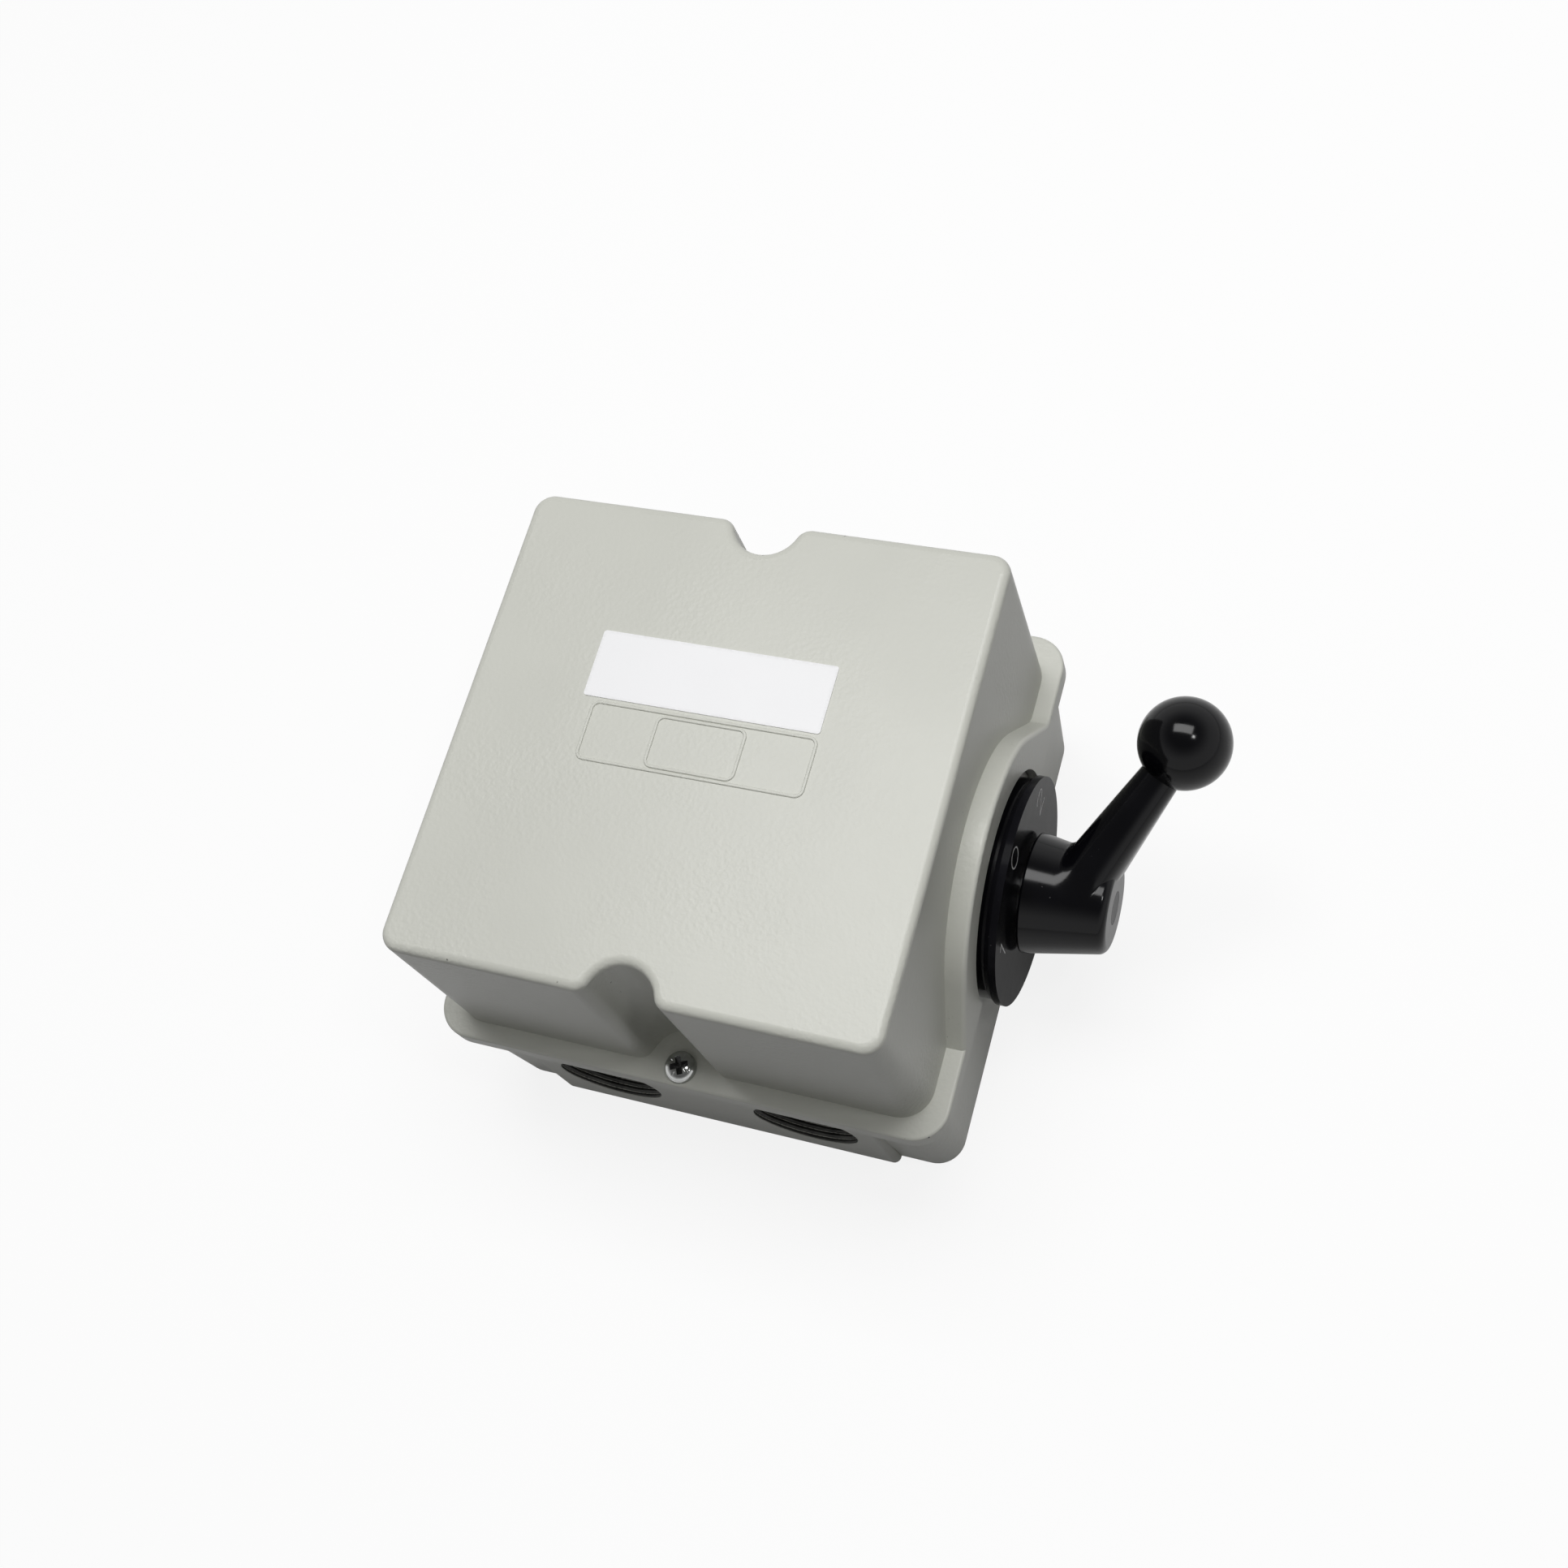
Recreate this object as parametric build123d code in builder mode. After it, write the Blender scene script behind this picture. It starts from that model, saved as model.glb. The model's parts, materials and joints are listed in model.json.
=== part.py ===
from build123d import *
from math import asin, cos, degrees, radians, sin, tan
import os

os.makedirs("parts", exist_ok=True)

# Rotary motor switch in a two-part die-cast box.
# Origin: centre of the base's flat back face. +Z: out of the wall, towards the lid's face.
# +X: the side with the dial and the ball lever. -Y: the side with the threaded cable entries.

# ---- driving dimensions, in millimetres and degrees ----

# base casting
BACK_HALF_X = 70.0          # half width of the back face
BACK_HALF_Y = 69.5          # half height of the back face
BASE_SPREAD = 2.0           # how much each wall leans out by the rim
BACK_CORNER_R = 8.0
RIM_CORNER_R = 9.0
RIM_HEIGHT = 45.4           # base rim, above the back face
BASE_WALL = 4.0
FLOOR = 4.5
GASKET_THICKNESS = 1.0

# lid casting
FLANGE_OVERHANG = 3.0       # flange edge beyond the base's rim
FLANGE_THICKNESS = 6.0
FLANGE_CORNER_R = 10.0
FLANGE_EDGE_R = 0.8
LID_DEPTH = 59.6            # face above the flange
LID_STEP = 5.1              # flange ledge around the lid's walls
LID_LEAN = 1.5              # how much each lid wall leans in by the face
LID_FOOT_CORNER_R = 9.5
LID_FACE_CORNER_R = 5.5
LID_FACE_EDGE_R = 2.4
LID_WALL = 3.5

# screw notches in the lid's top and bottom walls
NOTCH_R = 9.5
NOTCH_DEPTH = 10.6          # from the wall's foot to the bottom of the notch
NOTCH_MOUTH_R = 4.5
LID_SCREW_INSET = 5.2       # screw axis from the flange's edge
LID_SCREW_R = 1.9
LID_SCREW_HEAD_R = 4.4
LID_SCREW_HEAD = 2.9
LID_SCREW_LENGTH = 18.0
LID_SCREW_EDGE_R = 1.4
CROSS_SPAN = 4.6            # cross recess in a screw head
CROSS_LINE = 1.1
CROSS_DEPTH = 1.7
SCREW_CLEARANCE = 0.3       # radial, through plain holes
THREAD_CLEARANCE = 0.1      # radial, where a thread engages
HOLE_OVERRUN = 1.0          # blind holes, beyond the end of the screw

# raised frames and blank label on the lid's face
FRAME_WIDTH = 63.7
FRAME_HEIGHT = 17.2
FRAME_CENTRE_Y = 0.6
FRAME_CORNER_R = 2.5
FRAME_LINE = 0.9
FRAME_RELIEF = 0.4
FRAME_EDGE_R = 0.3
BADGE_WIDTH = 25.5
BADGE_INSET = 2.2
LABEL_WIDTH = 66.5
LABEL_HEIGHT = 19.3
LABEL_CENTRE_X = -1.75
LABEL_CENTRE_Y = 19.7
LABEL_CORNER_R = 0.8
LABEL_THICKNESS = 0.25

# cable entries (M32 x 1.5, bored at the thread's minor diameter)
PAD_HALF_WIDTH = 53.0
PAD_PROUD = 0.5             # pad face beyond the rim
PAD_CORNER_R = 2.0
ENTRY_R = 15.2
ENTRY_PITCH = 60.0
ENTRY_HEIGHT = 24.0
ENTRY_LENGTH = 9.0          # threaded length, through the thickened wall
ENTRY_RIM = 3.0             # metal beside the thread, inside the box
ENTRY_LEDGE = 3.2           # from the thickened wall's top up to the rim

# bosses on the floor
MOUNT_PITCH = 104.0
MOUNT_HOLE_R = 2.75
MOUNT_BOSS_R = 6.5
MOUNT_BOSS_HEIGHT = 8.0
EARTH_X = -54.0
EARTH_BOSS_R = 6.0
EARTH_BOSS_HEIGHT = 11.0
EARTH_SCREW_R = 2.4
EARTH_SCREW_LENGTH = 8.0
EARTH_HEAD_R = 4.6
EARTH_HEAD = 3.2
EARTH_WASHER_R = 5.6
EARTH_WASHER = 1.0
LID_BOSS_R = 5.2
LID_BOSS_INSET = 2.7        # from the screw's axis, inwards

# switch axis, the round seat in the side wall and the lid's arch over it
AXIS_HEIGHT = 48.5
SEAT_PROUD = 0.2            # seat face beyond the base wall's rim
SEAT_WALL = 7.0
SEAT_R = 32.7
SEAT_GAP = 0.3              # between the seat and the arch
ARCH_LIP = 9.5              # radial width of the arch's end face
ARCH_INNER_DEPTH = 9.5      # arch, along the axis
ARCH_LEG_ANGLE = 57.0       # from +Z, where each leg leaves the round
ARCH_EDGE_R = 1.2
ARCH_FOOT_R = 4.0           # hollow curve where the far leg runs out on the flange

# dial
DIAL_CUP_R = 30.6
DIAL_CUP_DEPTH = 4.1
DIAL_CUP_FLOOR = 2.2
DIAL_CUP_WALL = 2.6
DIAL_DISC_R = 31.8
DIAL_DISC_THICKNESS = 3.5
DIAL_DISC_EDGE = 2.0        # cylindrical part of the disc's rim
DIAL_SPIGOT = 1.5
WALL_SCREW_PITCH = 31.0
WALL_SCREW_R = 2.0
WALL_SCREW_HEAD_R = 3.9
WALL_SCREW_HEAD = 1.7

# lever
LEVER_ANGLE = 60.0          # from +Z towards +Y: position 2
STEP_ANGLE = 60.0           # between positions
HUB_GAP = 1.2               # hub above the dial
HUB_LENGTH = 23.0
HUB_R = 16.8
HUB_END_R = 12.7
HUB_EDGE_R = 2.5
HUB_FOOT_R = 0.6
ARM_FOOT = 10.4             # arm's axis meets the switch axis here, from the hub's inner end
ARM_REACH = 46.9            # ball centre from the switch axis
ARM_RISE = 24.3             # ball centre beyond the foot, along the switch axis
ARM_ROOT_R = 8.5
ARM_TIP_R = 5.1
ARM_TIP_IN_BALL = 5.5       # arm's end, short of the ball's centre
ARM_BLEND_R = 3.0           # hollow curve around the arm's root
BALL_R = 12.5
CAP_R = 4.5
CAP_THICKNESS = 1.6
HANDLE_SCREW_R = 2.0
HANDLE_SCREW_HEAD_R = 3.5
HANDLE_SCREW_HEAD = 2.4
HANDLE_SCREW_IN_SHAFT = 10.0

# shaft line
SHAFT_SIDE = 8.0
SQUARE_CLEARANCE = 0.05
SLEEVE_R = 7.0
SLEEVE_IN_HUB = 7.0
SHAFT_IN_HUB = 5.0          # beyond the sleeve's end
HUB_WEB = 2.5               # between the shaft's end and the screw's seat
RUNNING_CLEARANCE = 0.05
WALL_BORE_R = 9.0
SEAL_THICKNESS = 2.0
SEAL_LIP_GAP = 0.3
SEAL_CLEARANCE = 0.1

# switch body
PLATE_THICKNESS = 2.5
PLATE_CORNER_R = 6.0
BODY_R = 29.0
CHAMBER_WALL = 7.5
TIE_INSET = 4.0             # stud's centre, in from the chamber's outside
TIE_R = 1.9
TIE_NUT_R = 3.8
TIE_NUT = 3.0
DETENT_LENGTH = 15.0
DETENT_WALL = 3.0
DETENT_END_GAP = 0.5        # free space at the ends of the turning pieces
DETENT_FLATS = 18.0         # across flats of the six-sided detent block
DETENT_BLOCK_LENGTH = 6.6
SPRING_THICKNESS = 0.8
SPRING_WIDTH = 6.0
SPRING_HOLD = 0.5           # spring's end beyond the cavity's radius
STOP_ARM_THICKNESS = 3.0
STOP_ARM_WIDTH = 8.0
STOP_ARM_GAP = 3.5          # between the arm's tip and the cavity's wall
STOP_PIN_R = 2.0
STOP_CLEARANCE_ANGLE = 1.5

WAFER_COUNT = 5
WAFER_LENGTH = 13.0
WAFER_FLOOR = 3.0
ROTOR_HUB_R = 8.9
ROTOR_RIM_GAP = 1.0
ROTOR_DISC = 2.0
ROTOR_END_GAP = 0.1
ROTOR_FLOOR_GAP = 0.4
BLADE_THICKNESS = 1.0
BLADE_GAP = 1.3
BLADE_WIDTH = 9.0
BLADE_INSET = 1.0           # blade's end, in from the rotor's rim
BRIDGE_RING = 2.6           # ring around the rotor's hub, radial width
# dial steps from the off position at which each wafer closes, from the dial inwards
CLOSING_STEPS = [(-1, 1), (1,), (-1,), (1,), (-1,)]
KNIFE_THICKNESS = 1.2
KNIFE_WIDTH = 8.0
KNIFE_TIP_GAP = 1.5         # between the knife's tip and the bridge's ring
KNIFE_SLOT_GAP = 0.2
KNIFE_ROOT = 1.0            # held inside the terminal block
TERMINAL_GAP = 1.5          # between the clamp block and the chamber
TERMINAL_LENGTH = 9.5
TERMINAL_WIDTH = 9.0
TERMINAL_HEIGHT = 8.0
TERMINAL_SCREW_R = 2.0
TERMINAL_HEAD_R = 3.2
TERMINAL_HEAD = 2.4
TERMINAL_SLOT_WIDTH = 0.8
TERMINAL_SLOT_DEPTH = 1.2
TERMINAL_SCREW_LENGTH = 3.2
TERMINAL_WIRE_R = 2.2
TERMINAL_WEB = 1.5          # block left behind the wire hole
REAR_PLATE = 2.5
REAR_BORE_R = 6.0
STUD_END = 1.0              # stud beyond its nut
SHAFT_TAIL = 6.0
CLIP_R = 7.0
CLIP_THICKNESS = 1.2
CLIP_GAP = 0.2

# ---- places worked out from the driving dimensions ----

RIM_HALF_X = BACK_HALF_X + BASE_SPREAD
RIM_HALF_Y = BACK_HALF_Y + BASE_SPREAD
PAD_HALF_Y = RIM_HALF_Y + PAD_PROUD
FLANGE_HALF_X = RIM_HALF_X + FLANGE_OVERHANG
FLANGE_HALF_Y = RIM_HALF_Y + FLANGE_OVERHANG
FLANGE_BOTTOM = RIM_HEIGHT + GASKET_THICKNESS
FLANGE_TOP = FLANGE_BOTTOM + FLANGE_THICKNESS
FACE_HEIGHT = FLANGE_TOP + LID_DEPTH
LID_HALF_X = FLANGE_HALF_X - LID_STEP
LID_HALF_Y = FLANGE_HALF_Y - LID_STEP
NOTCH_CENTRE_Y = LID_HALF_Y - NOTCH_DEPTH + NOTCH_R
LID_SCREW_Y = FLANGE_HALF_Y - LID_SCREW_INSET
LID_SCREW_PLACES = [(0, LID_SCREW_Y), (0, -LID_SCREW_Y)]

SEAT_X = RIM_HALF_X + SEAT_PROUD
SEAT_INNER_X = SEAT_X - SEAT_WALL
ARCH_INNER_R = SEAT_R + SEAT_GAP
ARCH_OUTER_R = ARCH_INNER_R + ARCH_LIP
ARCH_INNER_X = FLANGE_HALF_X - ARCH_INNER_DEPTH

CUP_FRONT_X = SEAT_X + DIAL_CUP_DEPTH
DIAL_FACE_X = CUP_FRONT_X + DIAL_DISC_THICKNESS
HUB_X = DIAL_FACE_X + HUB_GAP
HUB_END_X = HUB_X + HUB_LENGTH
CAP_X = HUB_END_X - CAP_THICKNESS
SLEEVE_END_X = HUB_X + SLEEVE_IN_HUB

PLATE_X = SEAT_INNER_X - PLATE_THICKNESS
DETENT_X = PLATE_X - DETENT_LENGTH
STOP_ARM_X = PLATE_X - STOP_ARM_THICKNESS - DETENT_END_GAP
DETENT_BLOCK_X = DETENT_X + DETENT_WALL + DETENT_END_GAP
WAFER_X = [DETENT_X - (number + 1) * WAFER_LENGTH for number in range(WAFER_COUNT)]
REAR_X = WAFER_X[-1] - REAR_PLATE
CLIP_X = REAR_X - CLIP_THICKNESS - CLIP_GAP
SHAFT_START_X = REAR_X - SHAFT_TAIL
SHAFT_END_X = SLEEVE_END_X + SHAFT_IN_HUB
HANDLE_SCREW_SEAT_X = SHAFT_END_X + HUB_WEB

BALL_CENTRE_X = HUB_X + ARM_FOOT + ARM_RISE
LID_BOSS_PLACES = [(0, LID_SCREW_Y - LID_BOSS_INSET), (0, LID_BOSS_INSET - LID_SCREW_Y)]
TIE_RADIUS = BODY_R - TIE_INSET
CAVITY_R = BODY_R - CHAMBER_WALL
ROTOR_DISC_R = CAVITY_R - ROTOR_RIM_GAP
BLADE_REACH = ROTOR_DISC_R - BLADE_INSET
KNIFE_TIP_RADIUS = ROTOR_HUB_R + BRIDGE_RING + KNIFE_TIP_GAP
TERMINAL_RADIUS = BODY_R + TERMINAL_GAP
SPRING_LENGTH = 2 * (CAVITY_R + SPRING_HOLD)
STOP_ARM_REACH = CAVITY_R - STOP_ARM_GAP
STOP_PIN_RADIUS = STOP_ARM_REACH - STOP_PIN_R
ENTRY_PLACES = [(-ENTRY_PITCH / 2, ENTRY_HEIGHT), (ENTRY_PITCH / 2, ENTRY_HEIGHT)]
MOUNT_PLACES = [(x * MOUNT_PITCH / 2, y * MOUNT_PITCH / 2) for x in (-1, 1) for y in (-1, 1)]
SHAFT_SOCKET = SHAFT_SIDE + 2 * SQUARE_CLEARANCE
SPRING_OFFSET = (DETENT_FLATS + SPRING_THICKNESS) / 2 + SQUARE_CLEARANCE
STOP_PIN_ANGLE = degrees(asin((STOP_ARM_WIDTH / 2 + STOP_PIN_R) / STOP_PIN_RADIUS)) + STOP_CLEARANCE_ANGLE
STOP_PIN_PLACES = [
    (
        side * STOP_PIN_RADIUS * sin(radians(180 - STEP_ANGLE - STOP_PIN_ANGLE)),
        STOP_PIN_RADIUS * cos(radians(180 - STEP_ANGLE - STOP_PIN_ANGLE)),
    )
    for side in (-1, 1)
]
BLADE_START = WAFER_FLOOR + ROTOR_FLOOR_GAP + ROTOR_DISC
BLADE_END = BLADE_START + 2 * BLADE_THICKNESS + BLADE_GAP
KNIFE_OFFSET = (BLADE_START + BLADE_END - KNIFE_THICKNESS) / 2
KNIFE_END_RADIUS = TERMINAL_RADIUS + KNIFE_ROOT
TERMINAL_END = TERMINAL_RADIUS + TERMINAL_LENGTH
TERMINAL_SCREW_Y = TERMINAL_RADIUS + TERMINAL_LENGTH / 2
WALL_SCREW_PLACES = [
    (y * WALL_SCREW_PITCH / 2, z * WALL_SCREW_PITCH / 2) for y in (-1, 1) for z in (-1, 1)
]
TIE_PLACES = [(0, TIE_RADIUS), (0, -TIE_RADIUS)]


def station(x):
    """Plane across the switch axis at x: local x is +Y, local y is +Z, normal +X."""
    return Plane(origin=(x, 0, AXIS_HEIGHT), x_dir=(0, 1, 0), z_dir=(1, 0, 0))


def turned(x, angle):
    """The same plane, turned so that its local y points at a lever angle."""
    a = radians(angle)
    return Plane(origin=(x, 0, AXIS_HEIGHT), x_dir=(0, cos(a), -sin(a)), z_dir=(1, 0, 0))


def level(z):
    """Horizontal plane at height z."""
    return Plane.XY.offset(z)


def drill(plane, places, radius, depth):
    """Cut round holes into the part being built, from a plane and against its normal."""
    with BuildSketch(plane) as holes:
        with Locations(*places):
            Circle(radius)
    extrude(holes.sketch, amount=-depth, mode=Mode.SUBTRACT)


def finish(part, name):
    """Label a finished piece and write its STEP file."""
    part.label = name
    export_step(part, f"parts/{name}.step")


# ---- base casting ----


def make_base():
    with BuildPart() as cavity:
        with BuildSketch(level(FLOOR)):
            RectangleRounded(
                2 * (BACK_HALF_X - BASE_WALL),
                2 * (BACK_HALF_Y - BASE_WALL),
                BACK_CORNER_R - BASE_WALL / 2,
            )
        with BuildSketch(level(RIM_HEIGHT)):
            RectangleRounded(
                2 * (RIM_HALF_X - BASE_WALL),
                2 * (RIM_HALF_Y - BASE_WALL),
                RIM_CORNER_R - BASE_WALL / 2,
            )
        loft()

    with BuildPart() as base:
        # drafted outer walls
        with BuildSketch(level(0)):
            RectangleRounded(2 * BACK_HALF_X, 2 * BACK_HALF_Y, BACK_CORNER_R)
        with BuildSketch(level(RIM_HEIGHT)):
            RectangleRounded(2 * RIM_HALF_X, 2 * RIM_HALF_Y, RIM_CORNER_R)
        loft()
        # upright pads on the two cable sides
        with BuildSketch(level(0)):
            RectangleRounded(2 * PAD_HALF_WIDTH, 2 * PAD_HALF_Y, PAD_CORNER_R)
        extrude(amount=RIM_HEIGHT)
        add(cavity.part, mode=Mode.SUBTRACT)

        # thickened wall behind the entries
        with BuildSketch(level(0)):
            with Locations((0, ENTRY_LENGTH - PAD_HALF_Y)):
                Rectangle(
                    ENTRY_PITCH + 2 * (ENTRY_R + ENTRY_RIM),
                    ENTRY_LENGTH - BASE_WALL / 2,
                    align=(Align.CENTER, Align.MAX),
                )
        extrude(amount=RIM_HEIGHT - ENTRY_LEDGE)

        # bosses for the lid screws, the wall fixings and the earth screw
        with BuildSketch(level(0)):
            with Locations(*LID_BOSS_PLACES):
                Circle(LID_BOSS_R)
        extrude(amount=RIM_HEIGHT)
        with BuildSketch(level(0)):
            with GridLocations(MOUNT_PITCH, MOUNT_PITCH, 2, 2):
                Circle(MOUNT_BOSS_R)
        extrude(amount=MOUNT_BOSS_HEIGHT)
        with BuildSketch(level(0)):
            with Locations((EARTH_X, 0)):
                Circle(EARTH_BOSS_R)
        extrude(amount=EARTH_BOSS_HEIGHT)

        # round seat that carries the switch; its upper half stands above the rim
        with BuildSketch(station(SEAT_INNER_X)):
            Circle(SEAT_R)
        extrude(amount=SEAT_WALL)

        # cable entries, screw holes and the bore for the shaft
        front = Plane(origin=(0, -PAD_HALF_Y, 0), x_dir=(1, 0, 0), z_dir=(0, -1, 0))
        drill(front, ENTRY_PLACES, ENTRY_R, ENTRY_LENGTH)
        drill(level(MOUNT_BOSS_HEIGHT), MOUNT_PLACES, MOUNT_HOLE_R, MOUNT_BOSS_HEIGHT)
        earth_hole = EARTH_SCREW_R + THREAD_CLEARANCE
        drill(level(EARTH_BOSS_HEIGHT), [(EARTH_X, 0)], earth_hole, EARTH_SCREW_LENGTH + HOLE_OVERRUN)
        lid_hole_end = FLANGE_TOP - LID_SCREW_LENGTH - HOLE_OVERRUN
        drill(level(RIM_HEIGHT), LID_SCREW_PLACES, LID_SCREW_R + THREAD_CLEARANCE, RIM_HEIGHT - lid_hole_end)
        drill(station(SEAT_X), [(0, 0)], WALL_BORE_R, SEAT_WALL)
        drill(station(SEAT_X), WALL_SCREW_PLACES, WALL_SCREW_R + THREAD_CLEARANCE, SEAT_WALL)
    finish(base.part, "base")


def make_gasket():
    with BuildPart() as gasket:
        with BuildSketch(level(RIM_HEIGHT)):
            RectangleRounded(2 * RIM_HALF_X, 2 * RIM_HALF_Y, RIM_CORNER_R)
            RectangleRounded(
                2 * (RIM_HALF_X - BASE_WALL),
                2 * (RIM_HALF_Y - BASE_WALL),
                RIM_CORNER_R - BASE_WALL / 2,
                mode=Mode.SUBTRACT,
            )
        extrude(amount=GASKET_THICKNESS)
        # ears around the lid screws
        with BuildSketch(level(RIM_HEIGHT)):
            with Locations(*LID_BOSS_PLACES):
                Circle(LID_BOSS_R)
        extrude(amount=GASKET_THICKNESS)
        with BuildSketch(level(RIM_HEIGHT)):
            RectangleRounded(2 * RIM_HALF_X, 2 * RIM_HALF_Y, RIM_CORNER_R)
        extrude(amount=GASKET_THICKNESS, mode=Mode.INTERSECT)
        top = level(RIM_HEIGHT + GASKET_THICKNESS)
        drill(top, LID_SCREW_PLACES, LID_SCREW_R + THREAD_CLEARANCE, GASKET_THICKNESS)
        # the ends stop short of the round seat
        with BuildSketch(level(RIM_HEIGHT)):
            with Locations((RIM_HALF_X, 0)):
                Rectangle(4 * BASE_WALL, 2 * (ARCH_INNER_R + SEAT_GAP))
        extrude(amount=GASKET_THICKNESS, mode=Mode.SUBTRACT)
    finish(gasket.part, "gasket")


# ---- lid ----


def lid_shell(wall):
    """The lid's drafted walls, moved inwards by a wall thickness; the foot lies on the base."""
    with BuildPart() as shell:
        with BuildSketch(level(FLANGE_BOTTOM)):
            RectangleRounded(
                2 * (LID_HALF_X - wall), 2 * (LID_HALF_Y - wall), LID_FOOT_CORNER_R - wall / 2
            )
        with BuildSketch(level(FACE_HEIGHT - wall)):
            RectangleRounded(
                2 * (LID_HALF_X - LID_LEAN - wall),
                2 * (LID_HALF_Y - LID_LEAN - wall),
                LID_FACE_CORNER_R - wall / 2,
            )
        loft()
        # the screw notches, with the wall's thickness around them
        with BuildSketch(level(FLANGE_BOTTOM)):
            for side in (-1, 1):
                with Locations((0, side * NOTCH_CENTRE_Y)):
                    Circle(NOTCH_R + wall)
                with Locations((0, side * (NOTCH_CENTRE_Y + NOTCH_R))):
                    Rectangle(2 * (NOTCH_R + wall), 2 * NOTCH_R)
        extrude(amount=FACE_HEIGHT, mode=Mode.SUBTRACT)
    return shell


def arch_profile(radius):
    """Outline of the arch: a round crown on two straight legs that spread to the flange."""
    lean = radians(ARCH_LEG_ANGLE)
    foot = FLANGE_BOTTOM - AXIS_HEIGHT
    ledge = FLANGE_TOP - AXIS_HEIGHT
    knee = (radius * sin(lean), radius * cos(lean))
    near_foot = (-knee[0] - (knee[1] - foot) / tan(lean), foot)
    far_foot = (knee[0] + (knee[1] - ledge) / tan(lean), ledge)
    far_end = far_foot[0] + ARCH_FOOT_R
    with BuildSketch(station(ARCH_INNER_X)) as profile:
        with BuildLine():
            crown = ThreePointArc((-knee[0], knee[1]), (0, radius), knee)
            Polyline(crown @ 1, far_foot, (far_end, ledge), (far_end, foot), near_foot, crown @ 0)
        make_face()
        fillet(profile.vertices().sort_by_distance(far_foot)[0], ARCH_FOOT_R)
    return profile.sketch


def make_lid():
    cavity = lid_shell(LID_WALL)
    shell = lid_shell(0)

    with BuildPart() as arch:
        extrude(arch_profile(ARCH_OUTER_R), amount=ARCH_INNER_DEPTH)
        end_edges = arch.faces().sort_by(Axis.X)[-1].edges()
        fillet(end_edges.filter_by(lambda e: e.center().Z > FLANGE_TOP - FLANGE_EDGE_R), ARCH_EDGE_R)

    with BuildPart() as flange:
        with BuildSketch(level(FLANGE_BOTTOM)):
            RectangleRounded(2 * FLANGE_HALF_X, 2 * FLANGE_HALF_Y, FLANGE_CORNER_R)
        extrude(amount=FLANGE_THICKNESS)
        fillet(flange.faces().sort_by(Axis.Z)[-1].edges(), FLANGE_EDGE_R)

    with BuildPart() as lid:
        add(shell.part)
        upright = lid.edges().filter_by(
            lambda e: e.length > LID_DEPTH / 2 and abs(e.center().X) < 2 * NOTCH_R
        )
        fillet(upright.group_by(lambda e: abs(e.center().Y))[-1], NOTCH_MOUTH_R)
        fillet(lid.faces().sort_by(Axis.Z)[-1].edges(), LID_FACE_EDGE_R)
        add(flange.part)
        add(arch.part)
        add(cavity.part, mode=Mode.SUBTRACT)
        # opening over the round seat, straight below the axis so that the lid lifts off
        with BuildSketch(station(LID_HALF_X / 2)):
            Circle(ARCH_INNER_R)
            with Locations((0, -ARCH_INNER_R)):
                Rectangle(2 * ARCH_INNER_R, 2 * ARCH_INNER_R)
        extrude(amount=FLANGE_HALF_X, mode=Mode.SUBTRACT)
        drill(level(FLANGE_TOP), LID_SCREW_PLACES, LID_SCREW_R + SCREW_CLEARANCE, FLANGE_THICKNESS)
        # raised frames on the face
        with BuildSketch(level(FACE_HEIGHT)):
            with Locations((0, FRAME_CENTRE_Y)):
                badge = (BADGE_WIDTH, FRAME_HEIGHT - BADGE_INSET)
                for width, height in ((FRAME_WIDTH, FRAME_HEIGHT), badge):
                    RectangleRounded(width, height, FRAME_CORNER_R)
                    RectangleRounded(
                        width - 2 * FRAME_LINE,
                        height - 2 * FRAME_LINE,
                        FRAME_CORNER_R - FRAME_LINE,
                        mode=Mode.SUBTRACT,
                    )
        extrude(amount=FRAME_RELIEF)
        fillet(lid.faces().filter_by(Axis.Z).group_by(Axis.Z)[-1].edges(), FRAME_EDGE_R)
    finish(lid.part, "lid")


def make_label():
    with BuildPart() as label:
        with BuildSketch(level(FACE_HEIGHT)):
            with Locations((LABEL_CENTRE_X, LABEL_CENTRE_Y)):
                RectangleRounded(LABEL_WIDTH, LABEL_HEIGHT, LABEL_CORNER_R)
        extrude(amount=LABEL_THICKNESS)
    finish(label.part, "label")


def make_lid_screws():
    with BuildPart() as screws:
        with BuildSketch(level(FLANGE_TOP)):
            with Locations(*LID_SCREW_PLACES):
                Circle(LID_SCREW_HEAD_R)
        extrude(amount=LID_SCREW_HEAD)
        fillet(screws.faces().filter_by(Axis.Z).sort_by(Axis.Z)[-2:].edges(), LID_SCREW_EDGE_R)
        with BuildSketch(level(FLANGE_TOP)):
            with Locations(*LID_SCREW_PLACES):
                Circle(LID_SCREW_R)
        extrude(amount=-LID_SCREW_LENGTH)
        # cross recess
        with BuildSketch(level(FLANGE_TOP + LID_SCREW_HEAD)):
            with Locations(*LID_SCREW_PLACES):
                Rectangle(CROSS_SPAN, CROSS_LINE)
                Rectangle(CROSS_LINE, CROSS_SPAN)
        extrude(amount=-CROSS_DEPTH, mode=Mode.SUBTRACT)
    finish(screws.part, "lid_screws")


# ---- dial and wall fittings ----


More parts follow.
